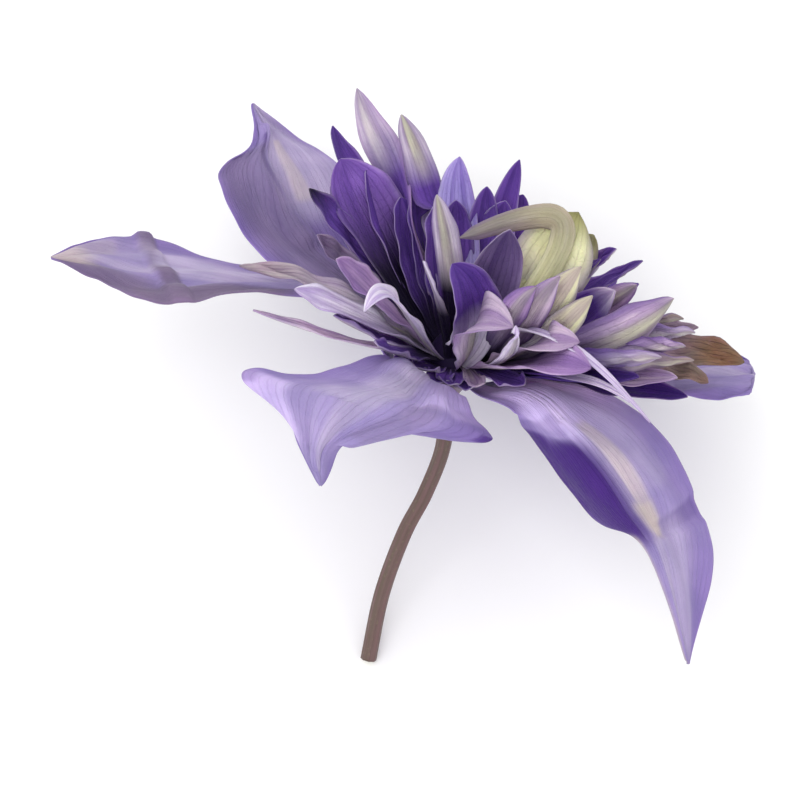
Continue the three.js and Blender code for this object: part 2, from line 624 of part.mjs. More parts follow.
// The largest connected skin of a solid as a geometry. Loose scraps and the
// skins of sealed hollows are dropped.
function largestBody(solid) {
  const mesh = solid.getMesh();
  const points = [];
  for (let v = 0; v < mesh.vertProperties.length; v += mesh.numProp) {
    points.push(new THREE.Vector3().fromArray(mesh.vertProperties, v));
  }
  const index = mesh.triVerts;
  const triangles = [];
  for (let t = 0; t < index.length; t += 3) triangles.push([index[t], index[t + 1], index[t + 2]]);
  const kept = closeShortEdges(points, triangles);
  const parent = points.map((_, k) => k);
  const find = (k) => {
    while (parent[k] !== k) {
      parent[k] = parent[parent[k]];
      k = parent[k];
    }
    return k;
  };
  for (const [a, b, c] of kept) {
    parent[find(a)] = find(b);
    parent[find(b)] = find(c);
  }
  const bodies = new Map();
  for (const triangle of kept) {
    const body = find(triangle[0]);
    if (!bodies.has(body)) bodies.set(body, []);
    bodies.get(body).push(...triangle);
  }
  const largest = [...bodies.values()].sort((a, b) => b.length - a.length)[0];
  const used = new Map();
  const positions = [];
  const indices = largest.map((p) => {
    if (!used.has(p)) {
      used.set(p, used.size);
      positions.push(...points[p].toArray());
    }
    return used.get(p);
  });
  return geometryFrom(positions, indices);
}

// ---------------------------------------------------------------------- bloom

const lilac = new THREE.MeshStandardMaterial({ color: 0xa79ccf, roughness: 0.55, metalness: 0 });
const violet = new THREE.MeshStandardMaterial({ color: 0x584096, roughness: 0.55, metalness: 0 });
const cream = new THREE.MeshStandardMaterial({ color: 0xc9c8a2, roughness: 0.6, metalness: 0 });
const bark = new THREE.MeshStandardMaterial({ color: 0x8a7468, roughness: 0.6, metalness: 0 });

const bloom = new THREE.Group();
bloom.name = 'clematis_bloom';
bloom.position.set(-BOX_CENTRE[0], -BOX_CENTRE[1], 0);

function add(name, geometry, material) {
  const mesh = new THREE.Mesh(geometry, material);
  mesh.name = name;
  bloom.add(mesh);
}

add('stalk', stalk(), bark);

for (const spec of SEPALS) {
  const stations = spec.stations.map((station) => station.map((point) => lay(...point)));
  add(spec.name, sepal(spec, stations, lay(...spec.tip)), lilac);
}

for (const spec of BACK_SEPALS) {
  const stations = bandStations(spec.azimuth, spec.bands);
  add(spec.name, sepal(spec, stations, at(spec.azimuth, ...spec.tip)), lilac);
}

// The tuft stands in a pocket of the other staminodes, clear of them by
// CLEARANCE all round.
const head = cushion(HEAD_RADIUS, HEAD_BOTTOM, HEAD_TOP);
const outer = [...STAMINODES.map(placed), ...whorlBlades()]
  .map((spec) => blade(spec, STAMINODE_GRID, STAMINODE_THICKNESS));
const inner = [...TUFT_BLADES.map(placed), ...tuftBlades()];
const roomy = STAMINODE_THICKNESS + 2 * CLEARANCE;
const pocket = fused(inner.map((spec) => blade(spec, TUFT_GRID, roomy, CLEARANCE)));
const tuft = fused(inner.map((spec) => blade(spec, TUFT_GRID, STAMINODE_THICKNESS)));
const headRoom = solidFrom(cushion(HEAD_RADIUS + CLEARANCE, HEAD_BOTTOM - CLEARANCE, HEAD_TOP + CLEARANCE));

add('staminodes', largestBody(fused([head, ...outer]).subtract(pocket)), violet);
add('staminode_tuft', largestBody(tuft.subtract(headRoom)), cream);

export default bloom;
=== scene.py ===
"""A double clematis bloom on its own stalk, lying on a pale surface.

The solids are faceted and plain. The operators below put fine surfaces in
their place: a stalk, broad sepals, a crown of staminodes and a pale tuft, with
the veins, bars, creases and colours of living petals. The last one adds the
stage.

Points are measured in millimetres the way the bloom is seen: right, up and
toward the viewer from the top of the stalk. lay() tips them back over the
surface that the bloom lies on, into the frame of the solids.
"""

import math

import bpy
import numpy as np
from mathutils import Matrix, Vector


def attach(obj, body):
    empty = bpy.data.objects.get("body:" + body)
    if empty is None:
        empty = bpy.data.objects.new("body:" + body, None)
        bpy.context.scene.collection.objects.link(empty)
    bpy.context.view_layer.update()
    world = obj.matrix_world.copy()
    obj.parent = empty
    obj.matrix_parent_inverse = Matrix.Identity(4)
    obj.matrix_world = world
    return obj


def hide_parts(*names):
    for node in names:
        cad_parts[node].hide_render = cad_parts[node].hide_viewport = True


bl_info = {
    "name": "Clematis Bloom",
    "version": (1, 0, 0),
    "blender": (4, 5, 0),
    "location": "View3D > Sidebar > Clematis",
    "description": "Dresses a lying double clematis bloom with fine petals and procedural finishes",
    "category": "Object",
}

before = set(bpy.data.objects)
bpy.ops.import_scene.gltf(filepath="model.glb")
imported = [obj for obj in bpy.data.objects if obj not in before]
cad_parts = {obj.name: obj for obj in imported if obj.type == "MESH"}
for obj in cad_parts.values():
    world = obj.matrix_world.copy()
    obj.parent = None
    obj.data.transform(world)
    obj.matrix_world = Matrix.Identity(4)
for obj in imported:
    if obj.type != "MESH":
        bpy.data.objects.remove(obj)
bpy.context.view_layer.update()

MM = 0.001

# ------------------------------------------------------------------ sizes, mm

REST_HEIGHT = 36.0            # top of the stalk over the surface
LEAN = 18.0                   # degrees that the seen frame tips back
BOX_CENTRE = (-8.4, 1.7)      # middle of the box from the top of the stalk
AXIS_TILT = 22.0              # degrees that the bloom faces the viewer
AXIS_ROLL = 10.0              # degrees that it leans right

RECEPTACLE_RADIUS = 3.2
RECEPTACLE_BROADEST = -1.2    # height of its broadest section
RECEPTACLE_DEPTH = 5.0
RECEPTACLE_TOP = 0.5
RECEPTACLE_ROUNDING = 0.4     # how much narrower its top is
STALK_NECK = 1.15             # swelling under the receptacle, in stalk radii
STALK_COURSE = [
    (-1.4, -13, -5.4),
    (-4.6, -21.5, -8.8),
    (-8.5, -29, -12),
    (-12.5, -40, -16),
    (-15, -52, -19.9),
]

SEPAL_SEAT = 4.0              # radius where a sepal leaves the receptacle
CLAW_END = 9.0                # radius where its narrow claw ends
CLAW_WIDTHS = (1.2, 3.2)      # half widths at the seat and the claw's end
LOWER_SEAT = -1.4             # every other sepal is seated lower
SEPAL_TIP = 0.25              # half width that a sepal's tip keeps

HEAD_RADIUS = 5.2             # the short cushion that carries staminodes
HEAD_BOTTOM = 0.85
HEAD_TOP = 9.0
ROOT_RADIUS = 4.0             # staminode roots inside that cushion
ROOT_HEIGHT = 4.0

BLADE_SWELL = (1.1, 0.75)     # powers that a blade's width rises and closes with
BLADE_CUP = 30                # degrees that each half curls up
BLADE_CLAW = 0.35             # width at the root, as a share of the broadest
BLADE_TIP = 0.12              # half width that the tip keeps
FIRST_BEND = 0.4              # share of the distance from root to tip
SECOND_BEND = 0.65            # share of the way from there to the tip

# Cells along and across each surface, or along and round it. The stalk has its
# first number to each stretch of its course.
STALK_GRID = (24, 48)
SEPAL_GRID = (160, 72)
BLADE_GRID = (36, 14)
CUSHION_GRID = (12, 48)

# Sepals: azimuth round the bloom's axis (0 right, 90 away from the viewer),
# tip, and stations from the claw outward, each a left margin, midrib and right
# margin as met when looking outward. lower ones have the lower seat, claw is the
# half width at the claw's end where it is broader than the others, and waving is
# how much the margins wave. glow, deep, dull, light and pale are strokes of
# colour and folds are strokes of relief: start and end as shares along and
# across (-1 to 1), half width, and strength, which for folds is a height. glow is
# painted light that brightens parts of the sepals. deep and dull are painted shade
# in folds and creases and under the crown, and deep also on the drooping sepal's
# folded half. light is painted highlight in places and a pale streak in others,
# and pale is the sepals' own beige, cream and green.
SEPALS = [
    dict(node="sepal_1", azimuth=178, lower=True, tip=(-72, 21, 6), waving=0.5, stations=[
        [(-18.5, 12, 8), (-18.5, 14, 0), (-19, 15.5, -6)],
        [(-37.5, 14.5, 14), (-37.5, 17, 2), (-37.5, 20, -9)],
        [(-53.5, 12.5, 17), (-54.5, 18.5, 5), (-55, 24.6, -8)],
        [(-64, 17.5, 11), (-65, 21, 6), (-65.5, 24, 1)]],
        pale=[(0.95, 0, 1.0, 0, 0.6, 0.7), (0.8, 0.5, 0.9, 0.4, 0.25, 0.3)],
        light=[(0.5, 0.3, 0.6, 0.3, 0.28, 0.8), (0.72, 0.5, 0.84, 0.3, 0.35, 0.35)],
        deep=[(0.675, 0.95, 0.6, -0.9, 0.075, 0.4), (0.54, -0.95, 0.84, -0.9, 0.4, 0.3)],
        grey_shade=[(0.5, -0.85, 0.66, -0.75, 0.36, 0.95), (0.74, -0.75, 0.88, -0.65, 0.5, 0.85),
              (0.675, 0.9, 0.615, -0.5, 0.1, 0.85), (0.2, 0, 0.95, 0, 1.6, 0.14)],
        folds=[(0.68, 1.0, 0.605, -0.9, 0.09, 1.0)]),
    dict(node="sepal_2", azimuth=132, lower=False, tip=(-36.5, 50.2, -36), waving=0.5, stations=[
        [(-18, 9.5, -11), (-14.5, 14, -15), (-8.5, 15.5, -20)],
        [(-35, 22, -18), (-27.5, 26, -25), (-14, 26.5, -32)],
        [(-42, 35.8, -16.5), (-32.5, 37.5, -30), (-20, 38, -36)],
        [(-36.5, 42.5, -30), (-33.5, 44, -35), (-29.5, 45.2, -38)]],
        pale=[(0.6, 0.3, 0.78, 0.2, 0.12, 0.5)],
        light=[(0.64, 0.5, 0.92, 0.4, 0.52, 0.85)],
        grey_shade=[(0.36, -0.3, 0.7, -0.6, 0.42, 0.5)],
        deep=[(0.26, 0.2, 0.48, 0.5, 0.8, 0.62), (0.84, -0.5, 0.58, -0.04, 0.05, 0.6)],
        folds=[(0.86, -0.45, 0.5, -0.02, 0.16, 1.8)]),
    dict(node="sepal_3", azimuth=250, lower=True, claw=4.6, tip=(-23, -19.5, 56), waving=0.45, stations=[
        [(1.5, -3, 14), (-5.5, -0.5, 20), (-12, 3, 14)],
        [(3, -6.5, 28), (-10, -3.5, 38), (-24, 0.6, 30)],
        [(6.2, -12, 36), (-16.5, -5.4, 50), (-36.8, -0.4, 42)],
        [(-15.5, -9.6, 48), (-23, -12.8, 56), (-29, -8, 50)]],
        light=[(0.36, 0.1, 0.6, 0.15, 0.3, 0.6), (0.7, 0.6, 0.84, 0.3, 0.3, 0.2)],
        painted_light=[(0.69, 0.85, 0.82, 0.8, 0.26, 0.6), (0.3, -0.8, 0.52, -0.7, 0.35, 0.35)],
        grey_shade=[(0.6, -0.45, 0.76, -0.4, 0.14, 0.3)],
        deep=[(0.56, -0.9, 0.7, -0.85, 0.18, 0.25), (0.66, -1.0, 0.665, -1.0, 0.1, 0.9),
              (0.66, 1.0, 0.67, 0.98, 0.12, 0.4)],
        folds=[(0.5, -0.55, 0.8, -0.5, 0.12, 1.1), (0.7, 0.15, 0.9, 0.1, 0.15, 0.8),
               (0.25, 0.3, 0.31, 0.3, 0.4, 1.5)]),
    dict(node="sepal_4", azimuth=322, lower=False, tip=(42, -51.5, 24), waving=0.25, stations=[
        [(16.5, -0.5, 4), (14, -4.5, 14), (11, -6.5, 20)],
        [(31, -5, 8), (25.5, -13.2, 22), (14.2, -11.4, 14)],
        [(41.8, -17.5, 10), (33, -23.4, 25.5), (25.2, -25, 14)],
        [(46.6, -33, 14), (37.5, -33, 28), (35, -31, 22)]],
        pale=[(0.47, -0.17, 0.7, -0.14, 0.14, 0.6), (0.7, -0.1, 0.73, -0.1, 0.2, 0.95),
              (0.83, 0.75, 0.97, 0.5, 0.3, 0.6)],
        light=[(0.8, -0.35, 0.92, -0.3, 0.35, 0.5), (0.42, -0.5, 0.6, -0.5, 0.25, 0.35)],
        deep=[(0.57, 0.56, 0.69, 0.58, 0.5, 1.0), (0.5, 0.9, 0.62, 0.95, 0.24, 1.0),
              (0.52, 0.42, 0.62, 0.42, 0.27, 1.0), (0.745, -0.25, 0.73, -0.9, 0.09, 0.4),
              (0.43, 0.3, 0.43, 0.95, 0.15, 0.35)],
        painted_light=[(0.1, -0.4, 0.23, -0.35, 1.15, 1.0)],
        folds=[(0.44, 0.1, 0.76, 0.12, 0.1, 0.9), (0.75, -0.2, 0.735, -0.9, 0.12, -0.8),
               (0.22, -0.1, 0.28, -0.1, 0.6, 1.6)]),
    dict(node="sepal_5", azimuth=5, lower=True, tip=(55, -0.8, -9), waving=0.4, stations=[
        [(19.5, 4.5, -14), (18, 0, -5), (17.5, -2.5, 2)],
        [(34, 5.5, -20), (34, 0.5, -8), (33, -3.5, 2)],
        [(47, 5.5, -20), (47, 0.5, -9), (45, -4, 1)],
        [(53.6, 3, -14), (54.3, 0, -10), (53, -4, -2)]]),
]

# The two sepals behind the bloom: azimuth, tip radius and height, and bands of
# radius, height, half width and rise of the margins.
BACK_SEPALS = [
    dict(node="sepal_6", azimuth=52, lower=False, tip=(56, 0), bands=[
        (18, 3, 8, 1), (34, 5, 15, 2), (47, 3, 12, 1)]),
    dict(node="sepal_7", azimuth=93, lower=True, tip=(57.5, 11.8), bands=[
        (16, -1, 7, 1), (31, -1, 14, 1), (44, -2, 14, 0), (52, 5.3, 8, 0)]),
]


def blade(tip, half, azimuth, rise, **more):
    """A staminode placed one by one: tip, half width, azimuth and rise of
    the root.

    out and bend pull it on its way, root_faces and faces are where its inner
    side looks at the root and at the tip, cup is how far each half curls up,
    and swell holds the powers that its width rises and closes with. inner and
    outer name the colours of its two sides, base and fade what these start
    from at the root, tips what both end in, and turn the shares along between
    which they change. bar is how strong the bar on its back is, shade how much
    painted shade darkens its root, wither how crumpled it is and age how brown."""
    return dict(more, tip=tip, half=half, azimuth=azimuth, rise=rise)


# What several blades share: narrow ones that show their curled backs, and
# withered ones at the right.
CURLED = dict(root_faces=(0, 0.6, -0.8), faces=(0.2, 0.6, -0.7), fade="violet", turn=(0.5, 0.95))
WITHERED = dict(faces=(0.1, 0.4, 0.9), inner="rose", outer="rose", wither=0.7)

# The crown, roughly from the far left round by the right to the near left.
STAMINODES = [
    blade((-21.5, 45.5, -18), 3, 130, 55, bend=(-19.5, 36, -14), faces=(0.5, 0.1, 0.85)),
    blade((-17, 52, -10), 4, 115, 62, bend=(-13.5, 38, -6), faces=(0.2, 0.1, -0.95), bar=0.3, inner="pink",
          fade="violet", turn=(0.6, 0.8)),
    blade((-9, 47, -2), 3.3, 100, 68, faces=(-0.3, 0.1, -0.9), bar=1.0, inner="dusk", fade="violet",
          turn=(0.62, 0.8)),
    # Painted shade: the next blade darkens to the root colour toward its root, and the one after it at its
    # tips, for the dark gaps of the crown beside them.
    blade((-20, 39, -2), 7, 150, 50, faces=(0.2, 0.2, 0.95), inner="iris", base="root", turn=(0.35, 0.8)),
    blade((-25.5, 33.5, 4), 3, 160, 42, faces=(0.4, 0.5, 0.8), tips="root", wither=0.3),
    blade((-24, 25, 12), 3.2, 180, 36, faces=(0.2, 0.6, 0.7), inner="claw", wither=0.4),
    blade((1.6, 39.5, -6), 3.8, 80, 75, bend=(-0.5, 30, -2), faces=(-0.2, 0.2, 1), inner="lilac"),
    blade((6.5, 34, -2), 3, 70, 72, faces=(0, 0.2, 1)),
    blade((12.5, 39, -8), 2.6, 60, 66, bend=(8.5, 29, -4), faces=(0.2, 0.2, 1)),
    # Painted shade: the next two blades take the root colour on their lower parts, for the dark gap in the
    # middle of the crown.
    blade((-2.6, 32, 20), 2.6, 260, 72, bar=1.0, fade="root", turn=(0.4, 0.65)),
    blade((-5, 20, 28), 1.5, 250, 62, faces=(1, 0.1, 0.1), inner="white", outer="white", base="root",
          fade="root", turn=(0.4, 0.75), shade=0.96),
    blade((10.3, 25.6, 26), 5, 290, 62, root_faces=(0, 0.3, 1), faces=(0.1, 0.2, 1), inner="dusk", cup=45),
    # Painted light: this blade is white toward its root, with almost no root shade, so that the shaded hollow
    # under the arching rose blade looks pale.
    blade((0, 19.5, 30), 5.4, 280, 46, bend=(5, 14, 32), root_faces=(0, 0.3, 1), faces=(0.3, 0.2, 1),
          cup=45, base="white", turn=(0.4, 0.6), shade=0.1),
    blade((22.8, 19, 30), 3.8, 320, 32, bend=(16.5, 11.5, 36), cup=45, root_faces=(0.1, 0.5, -0.85),
          faces=(0.2, 0.4, -0.9), outer="cream", fade="white", bar=0),
    blade((19, 17.2, 34), 3.2, 312, 32, bend=(12.5, 10.5, 38), cup=45, root_faces=(0.1, 0.5, -0.85),
          faces=(0.1, 0.4, -0.9), outer="rose", fade="dusk"),
    blade((14.8, 15.4, 36), 2.9, 304, 36, bend=(9, 11, 38), cup=45, root_faces=(0.1, 0.4, -0.9),
          faces=(-0.1, 0.3, -0.9), outer="pink", fade="dusk"),
    blade((24.8, 13.8, 30), 3, 325, 24, bend=(19, 7.5, 37), cup=45, root_faces=(0.1, 0.5, -0.85),
          faces=(0.2, 0.4, -0.9), outer="cream", fade="white", bar=0),
    blade((29.5, 22.5, 12), 3.4, 15, 40, wither=0.4),
    blade((26.5, 20.5, 18), 2.8, 0, 40, outer="dusk", wither=0.3),
    blade((34.5, 20.5, 4), 2.6, 20, 30, wither=0.3),
    blade((33, 16, 20), 3, 350, 28, root_faces=(0, 0.4, -0.9), faces=(0.1, 0.3, -0.9), outer="rose",
          bar=0.8),
    blade((29, 14.8, 24), 4.2, 340, 24, root_faces=(0, 0.3, 1), faces=(0, 0.3, 1), tips="silver"),
    blade((39.5, 13.5, 18), 5.6, 335, 14, bend=(33, 4.5, 34), cup=50, root_faces=(-0.2, 0.6, -0.8),
          faces=(-0.5, 0.5, -0.7), outer="rose", fade="violet", bar=1.0),
    blade((41.5, 10, 12), 2.3, 0, 16, bend=(34, 9.5, 20), cup=60, outer="drab", wither=0.5, **CURLED),
    blade((43.5, 7.5, 14), 2.3, 352, 14, bend=(36, 7.5, 22), cup=60, outer="silver", wither=0.5, **CURLED),
    blade((41.5, 5, 22), 2.3, 346, 12, bend=(34, 5, 30), cup=60, outer="rose", wither=0.5, **CURLED),
    blade((43, 2.5, 22), 2.3, 342, 9, bend=(34, 1.5, 31), cup=60, outer="drab", wither=0.5, **CURLED),
    blade((37, 3, 30), 2.6, 336, 10, bend=(28, 2.5, 36), cup=50, outer="silver", wither=0.4, **CURLED),
    blade((44.5, 8.5, 4), 3, 12, 16, faces=(0.1, 0.5, 0.8), inner="rose", wither=0.6, age=0.5),
    blade((52.8, 2.2, 4), 3.8, 6, 10, bend=(45, 5.4, 9), age=1.0, **WITHERED),
    blade((50, 4.4, 0), 3, 14, 12, age=1.0, **WITHERED),
    blade((46, -1.5, 12), 2.8, 0, 6, bend=(41, 2.5, 16), age=0.9, **WITHERED),
    blade((22.5, 5.6, 33), 4.2, 318, 18, bend=(13, 8, 37), faces=(0, 0.35, 0.95), inner="rose",
          outer="rose", shade=0),
    blade((24.5, 1, 35), 5.6, 315, 12, bend=(15, 4.5, 39), faces=(0, 0.35, 0.95), swell=(0.8, 0.75),
          inner="pink", outer="rose", shade=0),
    # Painted shade: of the next five blades along the crown's near edge, those that take deep violet or the
    # root colour do so for the dark line where the crown meets the sepal below.
    blade((40, -0.6, 25), 2.8, 336, 5, faces=(0, 0.5, 0.85), inner="rose", outer="rose", base="deep",
          turn=(0.4, 0.8)),
    blade((42, -4, 20), 2.8, 340, 2, faces=(0, 0.5, 0.85), inner="deep", base="root", outer="rose"),
    blade((33, -0.5, 33), 2.4, 326, 6, faces=(0, 0.5, 0.85), inner="deep", outer="deep"),
    blade((35, -8.5, 32), 1.2, 322, 8, out=(10, 12, 31), bend=(20, 9, 38), faces=(0.6, 0.5, 0.6),
          inner="white", outer="white"),
    blade((31.5, -5, 30), 1, 324, 8, bend=(25, 1, 33), faces=(0, 0.5, 0.85), inner="white", outer="white",
          base="deep", fade="deep", turn=(0.45, 0.75)),
    # Painted light: white toward its root in place of its own rose, where the blade lies in the crown's
    # shade.
    blade((10.8, 8.2, 34), 5.2, 285, 34, bend=(1, 14, 33), root_faces=(0, 0.4, 1), faces=(0.1, 0.35, 0.95),
          inner="rose", outer="rose", base="white", turn=(0.3, 0.6), shade=0),
    blade((11.2, 8.5, 37), 1.4, 300, 16, bend=(11.5, 4, 38), faces=(-0.1, 0.6, 0.8), inner="white",
          outer="white"),
    blade((-28, 15.2, 18), 3.3, 208, 28, faces=(0.1, 0.55, 0.8), inner="white"),
    blade((-20.5, 20.5, 20), 3.8, 200, 38, faces=(0.1, 0.5, 0.85), inner="pink"),
    blade((-15.5, 11, 36), 2.1, 235, 30, bend=(-11, 21, 32), faces=(0.2, 0.3, 0.9), inner="white",
          outer="white"),
    blade((-21, 10.5, 18), 2.4, 205, 12),
    blade((-13, 5, 28), 3, 225, 10, faces=(0.1, 0.6, 0.8)),
    blade((-35.5, 11.5, 13), 1.5, 204, 4, inner="rose"),
    blade((-38, 19.5, 10), 2.2, 186, 12, out=(-14, 13, 9.5), bend=(-27, 18.5, 11), faces=(0.1, 0.6, 0.8),
          inner="silver", wither=0.5, age=0.45),
    blade((4.2, -2.2, 20), 2, 292, -6, faces=(0, 0.4, 0.9), inner="rose", outer="rose"),
    blade((13, -1.8, 18), 2.6, 308, 0, faces=(0, 0.5, 0.85)),
]

# Whorls that fill the far side of the bloom, from the outside in, and a row of
# short ones that skirts its near side: count, first and last azimuth, rise in
# degrees at each, length and half width.
WHORLS = [
    (8, 12, 142, 8, 20, 38, 4.4),
    (7, 24, 150, 15, 38, 34, 4.6),
    (6, 40, 150, 38, 52, 29, 4.4),
    (4, 60, 140, 56, 64, 25, 3.8),
    (6, 205, 288, -4, 2, 9.2, 2.6),
]

# How far the blades of a whorl differ. place is between two neighbours, start
# is from the whorl's rise, swing and curl are of the tip, all three in degrees,
# and reach and width are shares of the whorl's own.
WHORL_DRAWS = dict(
    place=(0.3, 0.7), start=(-10, -2), reach=(0.92, 1.06), swing=(-6, 6), curl=(6, 16), width=(0.8, 1.15))
WHORL_SEED = 11
WHORL_ROOT_HEIGHTS = (3.0, 6.5)  # of flat blades and of upright ones
WHORL_TUCK = 0.7                 # share of the rise that draws a root inward

# The pale tuft: a narrow blade that hooks over it, two broad ones, and small
# ones that close like a bud round an axis of its own.
TUFT_BLADES = [
    blade((1.5, 24.2, 24), 2.8, 322, 40, out=(18, 15.5, 36), bend=(33, 38.5, 18), cup=60,
          root_faces=(-0.1, 0.2, -1), faces=(-0.3, -0.5, -0.8), swell=(0.6, 0.3), inner="drab",
          outer="drab", base="cream", fade="cream", tips="claw", turn=(0.3, 0.6), bar=0.3),
    # Painted light: the next blade's back is white toward its root, where the crown's shade falls on it.
    blade((22.6, 28.8, 18), 7.4, 325, 44, bend=(18.5, 24, 27), cup=30, root_faces=(0.1, 0.3, -0.95),
          faces=(0.3, 0.3, -0.9), outer="cream", fade="white", tips="olive", bar=0),
    blade((25.5, 25, 12), 5, 345, 50, root_faces=(0, 0.2, -1), faces=(-0.3, -0.2, -0.9), outer="cream",
          tips="olive", bar=0.3),
]
TUFT_COUNT = 12
TUFT_AXIS = (0.65, 0.64, 0.41)
TUFT_LENGTH = 29.0
TUFT_SHORTER = 4.0            # how much shorter the outer blades get
TUFT_ROOT = (2.5, 6.0)        # radius and height of the roots
TUFT_FOOT = 5.0               # height that the tuft's lengths start from
TUFT_SPREAD = (3.0, 6.0)      # least radius of a blade, and what the outmost adds
TUFT_BELLY = 16.0             # height over the foot where a blade bellies out
TUFT_BELLY_RADIUS = 1.3       # in radii of a blade
TUFT_TIP_RADIUS = 0.35
TUFT_BULGE = 2.0              # how far a blade leans out on its way up
TUFT_SHOULDER = 6.0           # from the belly to the bend over the middle
TUFT_HALF_WIDTH = 3.8
TUFT_CUP = 35
GOLDEN_ANGLE = 137.508

# ------------------------------------------------------------- the two frames


def unit(vectors):
    """Vectors divided by their own lengths."""
    vectors = np.asarray(vectors, float)
    return vectors / np.maximum(np.linalg.norm(vectors, axis=-1, keepdims=True), 1e-12)


def turn_back(vectors):
    """Seen directions turned about the right-hand axis by LEAN degrees."""
    x, y, z = np.moveaxis(np.asarray(vectors, float), -1, 0)
    c, s = math.cos(math.radians(LEAN)), math.sin(math.radians(LEAN))
    return np.stack([x, y * c - z * s, y * s + z * c], axis=-1)


def lay(points):
    """Seen points turned back, lifted to REST_HEIGHT and moved to the box's middle."""
    return turn_back(points) + np.array([-BOX_CENTRE[0], -BOX_CENTRE[1], REST_HEIGHT])


CENTRE = lay((0, 0, 0))
TILT, ROLL = math.radians(AXIS_TILT), math.radians(AXIS_ROLL)
AXIS = turn_back((math.sin(ROLL) * math.cos(TILT), math.cos(ROLL) * math.cos(TILT), math.sin(TILT)))
RIGHT = unit(np.array([1.0, 0.0, 0.0]) - AXIS[0] * AXIS)
AWAY = np.cross(AXIS, RIGHT)


def aim(azimuth, rise):
    """Unit vector at an azimuth round the bloom's axis, raised by some degrees."""
    a, r = math.radians(azimuth), math.radians(rise)
    return (RIGHT * math.cos(a) + AWAY * math.sin(a)) * math.cos(r) + AXIS * math.sin(r)


def at(azimuth, radius, height):
    """Point at a radius from the bloom's axis and a height along it."""
    return CENTRE + aim(azimuth, 0) * radius + AXIS * height


# ---------------------------------------------------------- curves and sheets


def through(points, t):
    """Uniform Catmull-Rom curve through points, at parameters t from 0 to 1.

    Each span is a cubic whose end slopes are half the step between the points
    on either side, and the ends are carried on in a straight line."""
    points = np.asarray(points, float)
    count = len(points)
    place = np.asarray(t, float) * (count - 1)
    span = np.minimum(place.astype(int), count - 2)
    f = (place - span).reshape(-1, *([1] * (points.ndim - 1)))
    more = np.concatenate([[2 * points[0] - points[1]], points, [2 * points[-1] - points[-2]]])
    before, start, end, after = more[span], more[span + 1], more[span + 2], more[span + 3]
    leaving, arriving = (end - before) / 2, (after - start) / 2
    return (start * (2 * f**3 - 3 * f**2 + 1) + leaving * (f**3 - 2 * f**2 + f)
            + end * (3 * f**2 - 2 * f**3) + arriving * (f**3 - f**2))


def between(values, start, end):
    """How far values have come from start to end: 0 before and 1 after."""
    return np.clip((values - start) / (end - start), 0, 1)


def bell(distance, width):
    """A soft hump: 1 at no distance, falling off as exp(-(distance / width)^2)."""
    return np.exp(-(distance / width)**2)


def surface_normals(grid):
    """Unit normals of a grid of points: the step across times the step along."""
    along = np.gradient(grid, axis=0)
    across = np.gradient(grid, axis=1)
    return unit(np.cross(across, along))


def closed_sheet(grid, thickness):
    """A grid thickened both ways along its normals into one closed skin.

    thickness is one number or one for each grid point. The inner face comes
    first, then the outer face, and quads along the rim join them. Points that
    would sink into the surface that the bloom lies on are set on it."""
    rows, columns = grid.shape[:2]
    offset = surface_normals(grid) * (np.broadcast_to(thickness, (rows, columns)) / 2)[..., None]
    points = np.concatenate([(grid + offset).reshape(-1, 3), (grid - offset).reshape(-1, 3)])
    points[:, 2] = np.maximum(points[:, 2], 0)
    index = np.arange(rows * columns).reshape(rows, columns)
    inner = np.stack([index[:-1, :-1], index[:-1, 1:], index[1:, 1:], index[1:, :-1]], axis=-1).reshape(-1, 4)
    outer = inner[:, ::-1] + rows * columns
    rim = np.concatenate([index[0, :-1], index[:-1, -1], index[-1, :0:-1], index[:0:-1, 0]])
    following = np.roll(rim, -1)
    edge = np.stack([rim, rim + rows * columns, following + rows * columns, following], axis=-1)
    along, across = np.meshgrid(np.linspace(0, 1, rows), np.linspace(0, 1, columns), indexing="ij")
    uv = np.stack([across, along], axis=-1).reshape(-1, 2)
    side = np.repeat([1.0, 0.0], rows * columns)
    return dict(points=points, faces=[inner, outer, edge], uv=np.tile(uv, (2, 1)), inner=side)


def tube_faces(rows, sides):
    """Quads between rings of points, and a fan at either end to a pole. The two
    poles come after all the rings."""
    index = np.arange(rows * sides).reshape(rows, sides)
    after = np.roll(index, -1, axis=1)
    walls = np.stack([index[:-1], after[:-1], after[1:], index[1:]], axis=-1).reshape(-1, 4)
    first = np.stack([after[0], index[0], np.full(sides, rows * sides)], axis=-1)
    last = np.stack([index[-1], after[-1], np.full(sides, rows * sides + 1)], axis=-1)
    return [walls, first, last]


def joined(patches):
    """Several patches as one: their points and values in a row, faces renumbered."""
    starts = np.cumsum([0] + [len(p["points"]) for p in patches[:-1]])
    whole = {key: np.concatenate([p[key] for p in patches]) for key in patches[0] if key != "faces"}
    whole["faces"] = [faces + start for patch, start in zip(patches, starts) for faces in patch["faces"]]
    return whole


# A petal is about this many half widths long, so that a stroke on it is as
# wide one way as the other.
PETAL_ASPECT = 4.5


def strokes_on(along, across, strokes):
    """Soft strokes on a petal.

    Each falls off as exp(-(d / width)^6), where d is how far a point lies from
    the line between its two ends, in half widths of the petal. The fourth
    powers of its steps along and across are added, which squares the ends.
    Where strokes overlap, the strongest one counts."""
    total = np.zeros(np.broadcast(along, across).shape)
    for u0, v0, u1, v1, width, strength in strokes:
        dx, dy = (u1 - u0) * PETAL_ASPECT, v1 - v0
        x, y = (along - u0) * PETAL_ASPECT, across - v0
        share = np.clip((x * dx + y * dy) / (dx * dx + dy * dy), 0, 1)
        distance = ((x - share * dx) ** 4 + (y - share * dy) ** 4) ** 0.25
        stroke = strength * np.exp(-(distance / width) ** 6)
        total = np.where(abs(stroke) > abs(total), stroke, total)
    return total


